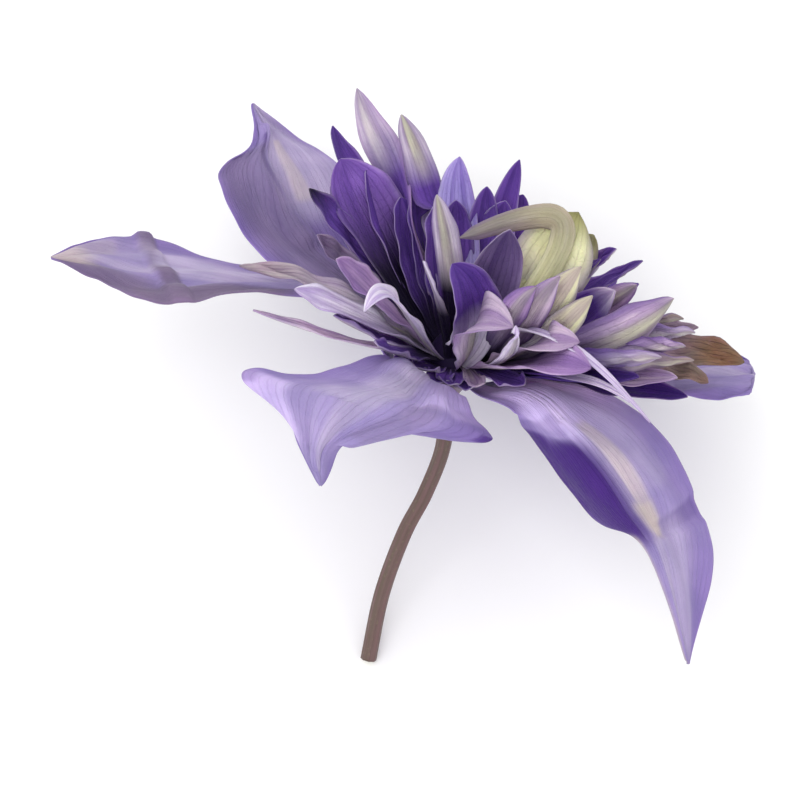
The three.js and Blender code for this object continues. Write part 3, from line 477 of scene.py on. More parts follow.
def make_piece(name, patch, material, node):
    """A mesh object from a patch, smooth shaded, that stands for a solid."""
    mesh = bpy.data.meshes.new(name)
    faces = [face for block in patch["faces"] for face in block.tolist()]
    mesh.from_pydata((patch["points"] * MM).tolist(), [], faces)
    corners = np.empty(len(mesh.loops), int)
    mesh.loops.foreach_get("vertex_index", corners)
    layer = mesh.uv_layers.new(name="UVMap")
    layer.data.foreach_set("uv", patch["uv"][corners].astype(np.float32).ravel())
    for key, values in patch.items():
        if key in ("points", "faces", "uv"):
            continue
        if values.ndim == 1:
            mesh.attributes.new(key, "FLOAT", "POINT").data.foreach_set("value", values.astype(np.float32))
        else:
            rgba = np.concatenate([values, np.ones((len(values), 1))], axis=1).astype(np.float32)
            mesh.attributes.new(key, "FLOAT_COLOR", "POINT").data.foreach_set("color", rgba.ravel())
    mesh.polygons.foreach_set("use_smooth", np.ones(len(mesh.polygons), bool))
    mesh.materials.append(material)
    mesh.update()
    mesh.validate()
    piece = bpy.data.objects.new(name, mesh)
    bpy.context.scene.collection.objects.link(piece)
    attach(piece, "root")
    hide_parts(node)
    return piece


def draws(seed):
    """A repeatable stream of random numbers from 0 to 1: the linear congruential
    generator that the solids' blades are drawn with."""
    while True:
        seed = (seed * 1664525 + 1013904223) % 2**32
        yield seed / 2**32


def drawn(draw, low, high):
    """The next number of a stream, from low to high."""
    return low + (high - low) * next(draw)


# ---------------------------------------------------------- relief of a petal


def waves(u, rng, low, high, size):
    """A sine along a petal with a drawn number of waves and a drawn start."""
    return size * np.sin(2 * np.pi * rng.uniform(low, high) * u + rng.uniform(0, 2 * np.pi))


def swells(u, v, rng, count, slants, numbers, heights):
    """Slow waves that run aslant over a petal, drawn one after another and added.
    slants, numbers and heights are the ranges that they are drawn from."""
    total = 0
    for _ in range(count):
        slant = rng.uniform(*slants)
        total = total + waves(u + slant * v, rng, *numbers, rng.uniform(*heights))
    return total


def waved_margins(u, v, rng, runs):
    """Heights of waves that run along each margin and fade inward as |v|^3. Each
    run is the least and greatest number of waves and their height."""
    total = 0
    for side in (-1, 1):
        total = total + (np.sign(v) == side) * sum(waves(u, rng, *run) for run in runs)
    return total * np.abs(v)**3


# --------------------------------------------------------------------- sepals

# Relief of a sepal, in millimetres: where it sets in and where it ends along the
# sepal, three nerves, each a groove and a ridge beside it, slow swells, and
# waves along the margins, which are full where the sepal is this broad. Swells
# are a count and the ranges of their slants, numbers of waves and heights.
RELIEF_SETS_IN = (0.18, 0.38)
RELIEF_ENDS = (1.0, 0.88)
NERVES = (-0.2, 0.0, 0.2)             # places across the sepal, at its claw
NERVE_CLOSING = 0.75                  # how far they have closed up by the tip
NERVE_PROFILE = ((-0.16, 0.0, 0.045), (0.1, 0.07, 0.05))  # height, place and width
SEPAL_SWELLS = (5, (0.15, 0.55), (1.5, 4.5), (0.088, 0.22))
SEPAL_MARGINS = ((2.5, 3.5, 0.7), (5, 7, 0.4), (12, 15, 0.16))
SEPAL_BROAD = 18.0
SEPAL_THINNING = 0.55                 # share of its thickness that a margin lacks
CLAW_SWELLING = (0.9, 0.1)            # share that the claw adds, and how far it reaches


def station(azimuth, radius, height, half, lifted=0.0):
    """Left margin, midrib and right margin of a sepal at a radius and a height,
    with the margins lifted."""
    middle = at(azimuth, radius, height)
    reach = aim(azimuth + 90, 0) * half
    return [middle + reach + AXIS * lifted, middle, middle - reach + AXIS * lifted]


def sepal_rails(spec, u):
    """Left margin, midrib and right margin of a sepal at shares u along it."""
    azimuth = spec["azimuth"]
    if "bands" in spec:
        stations = [station(azimuth, *band) for band in spec["bands"]]
        tip = at(azimuth, *spec["tip"])
    else:
        stations = lay(spec["stations"])
        tip = lay(spec["tip"])
    seat = LOWER_SEAT if spec["lower"] else 0.0
    narrow, broad = CLAW_WIDTHS
    claw = [station(azimuth, SEPAL_SEAT, seat, narrow),
            station(azimuth, CLAW_END, seat, spec.get("claw", broad))]
    across = unit(stations[-1][2] - stations[-1][0]) * SEPAL_TIP
    point = [tip - across, tip, tip + across]
    return through(np.array([*claw, *stations, point]), u)


def sepal_relief(u, v, width, spec, rng):
    """Heights on a sepal's middle surface: folds, nerves and swells, and margins
    that wave and crimp."""
    blade = between(u, *RELIEF_SETS_IN) * between(u, *RELIEF_ENDS)
    height = strokes_on(u, v, spec.get("folds", ()))
    for nerve in NERVES:
        run = v - nerve * (1 - NERVE_CLOSING * u)
        for rise, place, half in NERVE_PROFILE:
            height = height + rise * bell(run - place, half)
    height = height + swells(u, v, rng, *SEPAL_SWELLS)
    waving = np.minimum(1, width / SEPAL_BROAD) * spec.get("waving", 1.0)
    return (height + waved_margins(u, v, rng, SEPAL_MARGINS) * waving) * blade


def sepal_patch(spec, seed, settings):
    """One sepal as a closed skin, thicker at its claw and thinner at its margins.

    Catmull-Rom curves run through the left margins, the midribs and the right
    margins, a parabola spans each set of three, and the relief is added along
    the normals."""
    along, wide = SEPAL_GRID
    u = np.linspace(0, 1, along + 1)
    v = np.linspace(-1, 1, wide + 1)[None, :]
    left, middle, right = np.moveaxis(sepal_rails(spec, u)[:, None], 2, 0)
    across = v[..., None]
    grid = left * across * (across - 1) / 2 + middle * (1 - across**2) + right * across * (across + 1) / 2
    width = np.linalg.norm(right - left, axis=-1)
    rng = np.random.RandomState(seed)
    height = settings.relief * sepal_relief(u[:, None], v, width, spec, rng)
    grid = grid + surface_normals(grid) * height[..., None]
    full = settings.sepal_thickness / MM
    grid[..., 2] = np.maximum(grid[..., 2], full / 2)
    added, reach = CLAW_SWELLING
    thinned = 1 - SEPAL_THINNING * np.abs(v)**6
    return closed_sheet(grid, full * thinned * (1 + added * bell(u[:, None], reach)))


# ----------------------------------------------------------------- staminodes

# Relief of a staminode, in millimetres: where it sets in and ends along the
# blade, ripples across it, a groove along its middle, waves along its margins,
# which are full where half the blade is this wide, and the crumples of a
# withered one.
BLADE_SETS_IN = (0.0, 0.25)
BLADE_ENDS = (1.0, 0.85)
BLADE_RIPPLE = 0.1
BLADE_GROOVE = (-0.28, 0.14)          # height and half width
BLADE_MARGINS = ((1.5, 3, 0.5), (4, 6, 0.22))
BLADE_BROAD = 3.0
BLADE_CRUMPLES = (4, (-0.3, 0.3), (2, 7), (0.3, 0.7))
BLADE_THINNING = 0.7                  # share of its thickness that a margin lacks
CURL_SETS_IN = (0.0, 0.25)            # shares along over which a blade's halves curl up
LEAST_CURL = 0.01                     # degrees, so that no arc is quite flat


def second_bend(out, tip):
    """The later bend point of a blade, between the earlier one and its tip."""
    return out * (1 - SECOND_BEND) + tip * SECOND_BEND


def placed(spec):
    """Root, bend points, tip and facings of a staminode placed one by one."""
    azimuth, rise = spec["azimuth"], spec["rise"]
    root = at(azimuth, ROOT_RADIUS, ROOT_HEIGHT)
    tip = lay(spec["tip"])
    straight = root + aim(azimuth, rise) * np.linalg.norm(tip - root) * FIRST_BEND
    out = lay(spec["out"]) if "out" in spec else straight
    bend = lay(spec["bend"]) if "bend" in spec else second_bend(out, tip)
    first = turn_back(spec["root_faces"]) if "root_faces" in spec else aim(azimuth, rise + 90)
    last = turn_back(spec["faces"]) if "faces" in spec else aim(azimuth, rise + 90)
    return dict(spec, root=root, out=out, bend=bend, tip=tip, first=first, last=last)


def whorl_blades():
    """Staminodes in whorls that rise toward the middle, each blade a little out
    of step with its neighbours."""
    draw = draws(WHORL_SEED)
    blades = []
    flat, upright = WHORL_ROOT_HEIGHTS
    for count, low, high, low_rise, high_rise, length, half in WHORLS:
        for k in range(count):
            share = (k + drawn(draw, *WHORL_DRAWS["place"])) / count
            azimuth = low + (high - low) * share
            rise = low_rise + (high_rise - low_rise) * share
            start = rise + drawn(draw, *WHORL_DRAWS["start"])
            radius = ROOT_RADIUS * math.cos(math.radians(rise * WHORL_TUCK))
            root = at(azimuth, radius, flat + (upright - flat) * math.sin(math.radians(rise)))
            reach = length * drawn(draw, *WHORL_DRAWS["reach"])
            swing = azimuth + drawn(draw, *WHORL_DRAWS["swing"])
            tip = root + aim(swing, start + drawn(draw, *WHORL_DRAWS["curl"])) * reach
            out = root + aim(azimuth, start) * reach * FIRST_BEND
            facing = aim(azimuth, start + 90)
            width = half * drawn(draw, *WHORL_DRAWS["width"])
            blades.append(dict(root=root, out=out, bend=second_bend(out, tip), tip=tip, half=width,
                               first=facing, last=facing))
    return blades


def tuft_blades():
    """Staminodes of the tuft: golden-angle steps round the tuft's own axis, each
    bellied outward and closing over the middle."""
    axis = unit(turn_back(TUFT_AXIS))
    first = unit(np.cross(axis, turn_back((0, 0, 1))))
    second = np.cross(first, axis)
    inmost, added = TUFT_SPREAD
    root_radius, root_height = TUFT_ROOT
    foot = at(0, 0, TUFT_FOOT)
    blades = []
    for k in range(TUFT_COUNT):
        a = math.radians(k * GOLDEN_ANGLE)
        radius = inmost + added * math.sqrt((k + 0.5) / TUFT_COUNT)
        outward = first * math.cos(a) + second * math.sin(a)
        root = at(0, 0, root_height) + outward * root_radius
        belly = foot + axis * TUFT_BELLY + outward * radius * TUFT_BELLY_RADIUS
        length = TUFT_LENGTH - TUFT_SHORTER * k / TUFT_COUNT
        tip = foot + axis * length + outward * radius * TUFT_TIP_RADIUS
        out = (root + belly) / 2 + outward * TUFT_BULGE
        blades.append(dict(root=root, out=out, bend=belly + axis * TUFT_SHOULDER, tip=tip,
                           half=TUFT_HALF_WIDTH, first=-outward, last=-outward, cup=TUFT_CUP, outer="cream"))
    return blades


def blade_patch(spec, seed, full, relief):
    """One staminode as a closed skin.

    The midrib is a cubic Bezier. The inner face turns from one direction at
    the root to another at the tip, and each half is an arc that curls toward
    it. The half width is a claw that fades as (1 - u) cubed plus a swell
    u^p (1 - u)^q. A groove runs down the middle, and the margins crimp."""
    along, wide = BLADE_GRID
    u = np.linspace(0, 1, along + 1)[:, None]
    v = np.linspace(-1, 1, wide + 1)[None, :]
    root, out, bend, tip = (np.asarray(spec[k], float) for k in ("root", "out", "bend", "tip"))
    middle = (1 - u)**3 * root + 3 * (1 - u)**2 * u * out + 3 * (1 - u) * u**2 * bend + u**3 * tip
    tangent = unit((1 - u)**2 * (out - root) + 2 * (1 - u) * u * (bend - out) + u**2 * (tip - bend))
    facing = unit(spec["first"] * (1 - u) + spec["last"] * u)
    side = unit(np.cross(tangent, facing))
    normal = np.cross(side, tangent)
    rising, closing = spec.get("swell", BLADE_SWELL)
    peak = rising / (rising + closing)
    swell = u**rising * (1 - u)**closing / (peak**rising * (1 - peak)**closing)
    width = np.maximum(BLADE_TIP, spec["half"] * (BLADE_CLAW * (1 - u)**3 + swell))
    arc = np.radians(spec.get("cup", BLADE_CUP) * between(u, *CURL_SETS_IN) + LEAST_CURL)
    turn = arc * np.abs(v)
    rng = np.random.RandomState(seed)
    deep, half = BLADE_GROOVE
    fine = BLADE_RIPPLE * np.cos(4 * np.pi * v) + deep * bell(v, half)
    fine = fine + waved_margins(u, v, rng, BLADE_MARGINS) * np.minimum(1, width / BLADE_BROAD)
    fine = fine + swells(u, v, rng, *BLADE_CRUMPLES) * spec.get("wither", 0.0)
    fine = fine * between(u, *BLADE_SETS_IN) * between(u, *BLADE_ENDS) * relief
    height = width * (1 - np.cos(turn)) / arc + fine
    offset = np.sign(v) * width * np.sin(turn) / arc
    grid = middle[:, None] + side[:, None] * offset[..., None] + normal[:, None] * height[..., None]
    return closed_sheet(grid, full * (1 - BLADE_THINNING * np.abs(v)**3) * np.ones_like(u))


# The cushion takes the finish of a blade's root, so painted shade in the root colour darkens it almost all
# over.
CUSHION_UV = (0.5, 0.05)              # the cushion has the finish of a blade's root


def cushion_patch():
    """The low dome that the staminodes stand on: a quarter ellipse turned round
    the bloom's axis, with a flat underside and a pole at either end."""
    rows, turns = CUSHION_GRID
    rise = np.linspace(0, np.pi / 2, rows, endpoint=False)[:, None, None]
    a = np.linspace(0, 2 * np.pi, turns, endpoint=False)[:, None]
    radial = RIGHT * np.cos(a) + AWAY * np.sin(a)
    height = HEAD_BOTTOM + (HEAD_TOP - HEAD_BOTTOM) * np.sin(rise)
    rings = CENTRE + HEAD_RADIUS * np.cos(rise) * radial + height * AXIS
    poles = [CENTRE + HEAD_BOTTOM * AXIS, CENTRE + HEAD_TOP * AXIS]
    points = np.concatenate([rings.reshape(-1, 3), poles])
    uv = np.tile(CUSHION_UV, (len(points), 1))
    return dict(points=points, faces=tube_faces(rows, turns), uv=uv, inner=np.zeros(len(points)))


# ---------------------------------------------------------------------- stalk

STALK_RIBS = 8
RIB_HEIGHT = 0.045                    # as a share of the stalk's radius
RIBS_SET_IN = (1.5, 2.5)              # stretches of the course over which they rise
RIB_WINDING = (1.2, 3.0)              # radians that they turn by, and how fast
PITH_HOLLOW = 0.25                    # depth of the hollow in the cut end
CAP_RINGS = (0.35, 0.7)               # rings that close the ends, as shares of their radii


def stalk_patch(radius):
    """The stalk with the receptacle at its top.

    Its axis is a Catmull-Rom curve down to the cut end. Each section is a
    circle whose radius runs straight from one listed radius to the next, with
    shallow ribs that fade out on the receptacle. The cut end is a flat disc
    with a slight hollow at the pith."""
    per_span, sides = STALK_GRID
    heights = (RECEPTACLE_TOP, RECEPTACLE_BROADEST, -RECEPTACLE_DEPTH)
    course = [*(at(0, 0, height) for height in heights), *lay(STALK_COURSE)]
    top = [RECEPTACLE_RADIUS - RECEPTACLE_ROUNDING, RECEPTACLE_RADIUS, radius * STALK_NECK]
    radii = np.array(top + [radius] * len(STALK_COURSE))
    u = np.linspace(0, 1, (len(course) - 1) * per_span + 1)
    line = through(course, u)
    tangent = unit(np.gradient(line, axis=0))
    side = unit(np.cross(tangent, RIGHT))
    other = np.cross(tangent, side)
    place = u * (len(radii) - 1)
    rib = RIB_HEIGHT * between(place, *RIBS_SET_IN)
    a = np.linspace(0, 2 * np.pi, sides, endpoint=False)
    far, fast = RIB_WINDING
    swell = 1 + rib[:, None] * np.cos(STALK_RIBS * a + far * np.sin(fast * u)[:, None])
    size = np.interp(place, np.arange(len(radii)), radii)[:, None] * swell
    across = side[:, None] * np.cos(a)[:, None] + other[:, None] * np.sin(a)[:, None]
    tube = line[:, None] + across * size[..., None]

    def cap_ring(row, share, hollow):
        return line[row] + (tube[row] - line[row]) * share - tangent[row] * hollow * (1 - share)

    head = [cap_ring(0, share, 0.0) for share in CAP_RINGS]
    cut = [cap_ring(-1, share, PITH_HOLLOW) for share in reversed(CAP_RINGS)]
    rings = np.stack([*head, *tube, *cut])
    poles = [line[0], line[-1] - tangent[-1] * PITH_HOLLOW]
    points = np.concatenate([rings.reshape(-1, 3), poles])
    points[:, 2] = np.maximum(points[:, 2], 0)
    rows = len(rings)
    along = np.concatenate([[0, 0], u, [1, 1]])
    uv = np.stack([np.tile(a / (2 * np.pi), rows), np.repeat(along, sides)], axis=-1)
    uv = np.concatenate([uv, [[0.5, 0], [0.5, 1]]])
    cut_face = np.concatenate([np.repeat(np.arange(rows) >= rows - len(cut), sides), [False, True]])
    return dict(points=points, faces=tube_faces(rows, sides), uv=uv, cut=cut_face.astype(float))


# ------------------------------------------------------------------- settings


def srgb(red, green, blue):
    """The linear colour of the 0 to 255 values that a colour picker shows."""
    values = np.array([red, green, blue]) / 255
    linear = np.where(values <= 0.04045, values / 12.92, ((values + 0.055) / 1.055) ** 2.4)
    return tuple(linear.tolist())


def tone(name, description, red, green, blue):
    """A colour property with its default given as 0 to 255 values."""
    return bpy.props.FloatVectorProperty(
        name=name, description=description, subtype="COLOR", size=3, min=0, max=1,
        default=srgb(red, green, blue))


def measure(name, description, millimetres):
    """A length property with its default given in millimetres."""
    return bpy.props.FloatProperty(
        name=name, description=description, default=millimetres * MM, min=0, precision=5, unit="LENGTH")


class BloomSizes(bpy.types.PropertyGroup):
    """Sizes of the bloom that do not move its petals."""

    sepal_thickness: measure("Sepal thickness", "Thickness of a sepal at its midrib", 0.5)
    staminode_thickness: measure("Staminode thickness", "Thickness of a staminode at its midrib", 0.4)
    stalk_radius: measure("Stalk radius", "Radius of the stalk below the receptacle", 1.4)
    relief: bpy.props.FloatProperty(
        name="Relief", description="Depth of grooves, swells and waved margins", default=1.0, min=0, max=2)


class BloomColours(bpy.types.PropertyGroup):
    """Colours of the bloom, the stalk and the floor."""

    sepal: tone("Sepal", "Main colour of the sepals", 145, 132, 180)
    margin: tone("Sepal margin", "Stronger colour toward a sepal's margins", 124, 106, 168)
    # Also the colour of the light strokes: painted highlight in places, and a pale streak in others.
    bar: tone("Bar", "Pale bar down the middle of a sepal", 172, 162, 192)
    blush: tone("Blush", "Beige strokes on the sepals", 192, 180, 176)
    # Painted shade: the drooping sepal's folded half, creases, and the sepals under the crown. It also tints
    # the veins darker and colours a few blades at the crown's near edge.
    deep: tone("Deep", "Folded half of the drooping sepal", 62, 32, 112)
    # Painted light: the pale lilac that makes shaded parts of the sepals look lit.
    painted_light: tone("Glow", "Palest lilac of the sepals", 220, 203, 250)
    # Also the grey of the painted shade strokes on the sepals.
    claw: tone("Claw", "Base of the sepals", 110, 96, 122)
    # Painted shade: the dark near the staminodes' roots, in the gaps between them and on the cushion.
    root: tone("Root", "Dark base of the staminodes", 18, 6, 38)
    green_bar: tone("Green bar", "Grey-green bar on the backs of petals", 178, 177, 160)
    violet: tone("Violet", "Inner face of most staminodes", 92, 62, 144)
    dusk: tone("Dusk", "Greyed violet faces", 104, 88, 130)
    lilac: tone("Lilac", "Light violet faces", 158, 146, 206)
    silver: tone("Silver", "Backs of most staminodes", 194, 186, 199)
    rose: tone("Rose", "Pinkish lilac faces and backs", 188, 170, 192)
    pink: tone("Pink", "Stronger pinkish lilac faces", 170, 142, 186)
    white: tone("White", "Palest faces and margins", 228, 220, 240)
    cream: tone("Cream", "Cream-green faces and backs of the tuft", 224, 223, 182)
    iris: tone("Iris", "Brightest violet faces", 122, 90, 168)
    drab: tone("Drab", "Hooked staminode of the tuft", 164, 154, 136)
    olive: tone("Olive", "Olive tips of the tuft", 130, 128, 84)
    brown: tone("Brown", "Withered olive brown", 112, 98, 78)
    rust: tone("Rust", "Withered red brown", 128, 94, 72)
    stalk: tone("Stalk", "Brownish stalk", 90, 74, 64)
    flush: tone("Stalk flush", "Pink flush along the stalk", 106, 78, 78)
    pith: tone("Pith", "Cut end of the stalk", 192, 188, 156)
    floor: tone("Floor", "Surface that the bloom lies on", 244, 244, 244)


# ------------------------------------------------------------------ materials

# Tints that a petal's colour is multiplied by: in its light mottles, between its
# streaks and along its veins.
SEPAL_MOTTLE = (1.2, 1.18, 1.12)
SEPAL_STREAK = (0.8, 0.77, 0.85)
BLADE_MOTTLE = (1.7, 1.6, 1.5)
BLADE_VEIN = (0.45, 0.4, 0.5)

# Strokes on a sepal and their colours, from the lowest up: painted light,
# painted shade in deep violet and in grey, painted highlight in places and a
# pale streak in others, and the sepals' own pale marks.
STROKES = {"painted_light": "painted_light", "deep": "deep", "grey_shade": "claw", "light": "bar", "pale": "blush"}

NET_SHARE = 0.4               # strength of the fine net of veins beside the veins


class Web:
    """Adds linked nodes to the tree of a material or a node group."""

    def __init__(self, tree):
        self.tree = tree

    def node(self, kind, inputs=None, **settings):
        """A node with its settings, each input linked or given a value."""
        made = self.tree.nodes.new(kind)
        for key, value in settings.items():
            setattr(made, key, value)
        for socket, value in (inputs or {}).items():
            if isinstance(value, bpy.types.NodeSocket):
                self.tree.links.new(value, made.inputs[socket])
            else:
                made.inputs[socket].default_value = value
        return made

    def math(self, operation, a, b=0.0):
        """One step of arithmetic on one or two numbers."""
        return self.node("ShaderNodeMath", {0: a, 1: b}, operation=operation).outputs[0]

    def times(self, a, b):
        """Two numbers multiplied."""
        return self.math("MULTIPLY", a, b)

    def plus(self, a, b):
        """Two numbers added."""
        return self.math("ADD", a, b)

    def ramp(self, value, start, end, first=0.0, last=1.0):
        """Smooth step of a value from first at start to last at end."""
        inputs = {"Value": value, "From Min": start, "From Max": end, "To Min": first, "To Max": last}
        return self.node("ShaderNodeMapRange", inputs, interpolation_type="SMOOTHSTEP").outputs[0]

    def mix(self, factor, a, b, blend="MIX"):
        """Colour a turned into colour b by a factor. Each is a socket or three numbers."""
        a, b = (each if isinstance(each, bpy.types.NodeSocket) else (*each, 1.0) for each in (a, b))
        node = self.node("ShaderNodeMix", {0: factor, 6: a, 7: b}, data_type="RGBA", blend_type=blend)
        return node.outputs[2]

    def tinted(self, colour, tint):
        """A colour multiplied by a tint."""
        return self.mix(1.0, colour, tint, "MULTIPLY")

    def noise(self, vector, scale, detail=2.0):
        """Soft noise of a scale, with some octaves of detail."""
        inputs = {"Vector": vector, "Scale": scale, "Detail": detail}
        return self.node("ShaderNodeTexNoise", inputs).outputs[0]

    def scaled(self, vector, *factors):
        """A vector stretched along each of its axes."""
        return self.node("ShaderNodeVectorMath", {0: vector, 1: factors}, operation="MULTIPLY").outputs[0]

    def parts(self, vector):
        """The three numbers of a vector."""
        return self.node("ShaderNodeSeparateXYZ", {0: vector}).outputs

    def uv(self):
        """The piece's own UV map: across and along."""
        return self.node("ShaderNodeUVMap", uv_map="UVMap").outputs[0]

    def attribute(self, name, output="Fac"):
        """A value or colour that the mesh holds at its points."""
        return self.node("ShaderNodeAttribute", attribute_name=name).outputs[output]

    def group(self, group, inputs):
        """A shared node group with its own inputs."""
        return self.node("ShaderNodeGroup", inputs, node_tree=group).outputs


def new_group(name, inputs, outputs):
    """An empty shader node group with its sockets, its web and what it is given."""
    group = bpy.data.node_groups.new(name, "ShaderNodeTree")
    for socket, kind in inputs.items():
        group.interface.new_socket(socket, in_out="INPUT", socket_type=kind)
    for socket in outputs:
        group.interface.new_socket(socket, in_out="OUTPUT", socket_type="NodeSocketFloat")
    web = Web(group)
    return group, web, web.node("NodeGroupInput").outputs


def petal_veins():
    """Veins that run along a petal, joined by a net of finer ones.

    The UV map's first number runs across a petal and its second along it, so
    a vein is a line of one first number, with a little wander."""
    found = bpy.data.node_groups.get("Petal Veins")
    if found:
        return found
    group, web, given = new_group(
        "Petal Veins", {"UV": "NodeSocketVector", "Count": "NodeSocketFloat"}, ("Veins", "Net"))
    wander = web.math("SUBTRACT", web.noise(web.scaled(given["UV"], 2, 4, 1), scale=1.6), 0.5)
    parts = web.parts(given["UV"])
    across = web.plus(parts[0], web.times(wander, 0.05))
    wave = web.math("SINE", web.times(web.times(across, given["Count"]), math.pi))
    veins = web.ramp(web.math("ABSOLUTE", wave), 0.0, 0.42, first=1.0, last=0.0)
    place = web.node("ShaderNodeCombineXYZ", {
        0: web.times(across, web.times(given["Count"], 1.6)), 1: web.times(parts[1], 22.0)}).outputs[0]
    cells = web.node("ShaderNodeTexVoronoi", {"Vector": place, "Scale": 1.0}, feature="DISTANCE_TO_EDGE")
    net = web.ramp(cells.outputs["Distance"], 0.0, 0.14, first=1.0, last=0.0)
    web.node("NodeGroupOutput", {"Veins": veins, "Net": net})
    return group


def petal_grain():
    """Slow mottling, the fine cells of a petal's skin and streaks along it."""
    found = bpy.data.node_groups.get("Petal Grain")
    if found:
        return found
    inputs = {"Place": "NodeSocketVector", "UV": "NodeSocketVector", "Count": "NodeSocketFloat"}
    group, web, given = new_group("Petal Grain", inputs, ("Mottle", "Cells", "Streaks"))
    parts = web.parts(given["UV"])
    run = web.node("ShaderNodeCombineXYZ", {
        0: web.times(parts[0], given["Count"]),
        1: web.times(parts[1], 1.6),
        2: web.parts(web.scaled(given["Place"], 60, 60, 60))[0]}).outputs[0]
    web.node("NodeGroupOutput", {
        "Mottle": web.ramp(web.noise(given["Place"], scale=130.0, detail=3.0), 0.3, 0.7),
        "Cells": web.noise(given["Place"], scale=2600.0, detail=1.0),
        "Streaks": web.ramp(web.noise(run, scale=1.0, detail=3.0), 0.32, 0.68)})
    return group


def new_material(name):
    """A material with a Principled shader, its web and its place in space."""
    material = bpy.data.materials.new(name)
    material.use_nodes = True
    material.node_tree.nodes.clear()
    web = Web(material.node_tree)
    shader = web.node("ShaderNodeBsdfPrincipled")
    web.node("ShaderNodeOutputMaterial", {"Surface": shader.outputs[0]})
    return material, web, shader, web.node("ShaderNodeTexCoord").outputs["Object"]


def finish(web, shader, colour, roughness, height, strength, depth):
    """Joins a colour, a roughness and a fine relief of some depth to a shader."""
    bump = web.node("ShaderNodeBump", {"Height": height, "Strength": strength, "Distance": depth})
    web.tree.links.new(colour, shader.inputs["Base Color"])
    web.tree.links.new(roughness, shader.inputs["Roughness"])
    web.tree.links.new(bump.outputs[0], shader.inputs["Normal"])


def veined(web, veins, strength, net):
    """Veins and their net in one mask, each with its own strength."""
    return web.plus(web.times(veins["Veins"], strength), web.times(veins["Net"], net))


class Petal:
    """A petal's material: its shader, veins and grain, and where a point of it
    is. side is 0 on the midrib and 1 on a margin, along 0 at the seat and 1 at
    the tip, and inner 1 on the inner face and 0 on the outer one."""

    def __init__(self, name, vein_count, streak_count):
        self.material, self.web, self.shader, place = new_material(name)
        web = self.web
        uv = web.uv()
        self.veins = web.group(petal_veins(), {"UV": uv, "Count": vein_count})
        self.grain = web.group(petal_grain(), {"Place": place, "UV": uv, "Count": streak_count})
        across, self.along, _ = web.parts(uv)
        self.side = web.times(web.math("ABSOLUTE", web.math("SUBTRACT", across, 0.5)), 2.0)
        self.inner = web.attribute("inner")

    def finished(self, colour, vein_depth):
        """The material with its colour, and what is the same all over a petal: a
        little light passes through it, and fine hairs give it a soft sheen."""
        skin = self.shader.inputs
        skin["Subsurface Weight"].default_value = 0.25
        skin["Subsurface Radius"].default_value = (1.0, 0.7, 1.0)
        skin["Subsurface Scale"].default_value = 1.2 * MM
        skin["Specular IOR Level"].default_value = 0.14
        skin["Sheen Weight"].default_value = 0.02
        skin["Sheen Roughness"].default_value = 0.5
        web = self.web
        roughness = web.ramp(self.grain["Mottle"], 0.0, 1.0, first=0.52, last=0.66)
        height = veined(web, self.veins, -vein_depth, -NET_SHARE * vein_depth)
        height = web.plus(height, web.times(self.grain["Cells"], 0.35))
        finish(web, self.shader, colour, roughness, height, strength=0.55, depth=0.22 * MM)
        return self.material


def sepal_material(colours):
    """Lilac, stronger toward the margins, with a bar down the middle that narrows
    to the tip, a greyer claw, strokes of painted light, painted shade, painted
    highlight and pale colour, veins, light mottles, and streaks with a darker
    tint between them."""
    petal = Petal("Sepal", vein_count=26.0, streak_count=9.0)
    web, side, along = petal.web, petal.side, petal.along
    margin = web.ramp(side, 0.35, 1.0, last=0.85)
    colour = web.mix(margin, colours.sepal, colours.margin)
    bar_width = web.times(web.math("SUBTRACT", 1.25, along), 0.3)
    bar = web.ramp(web.math("DIVIDE", side, bar_width), 0.35, 1.25, first=0.75, last=0.0)
    colour = web.mix(bar, colour, web.mix(petal.inner, colours.green_bar, colours.bar))
    claw = web.ramp(along, 0.04, 0.16, first=0.8, last=0.0)
    colour = web.mix(claw, colour, colours.claw)
    # The strokes are painted light, painted shade, painted highlight with pale streaks, and the sepals' own
    # pale marks.
    for mark, name in STROKES.items():
        colour = web.mix(web.attribute(mark), colour, getattr(colours, name))
    dark = web.mix(0.5, colour, colours.deep)
    colour = web.mix(veined(web, petal.veins, 0.07, 0.03), colour, dark)
    colour = web.mix(petal.grain["Mottle"], colour, web.tinted(colour, SEPAL_MOTTLE))
    clear = web.ramp(petal.grain["Streaks"], 0.0, 1.0, first=0.35)
    colour = web.mix(clear, web.tinted(colour, SEPAL_STREAK), colour)
    return petal.finished(colour, vein_depth=1.0)


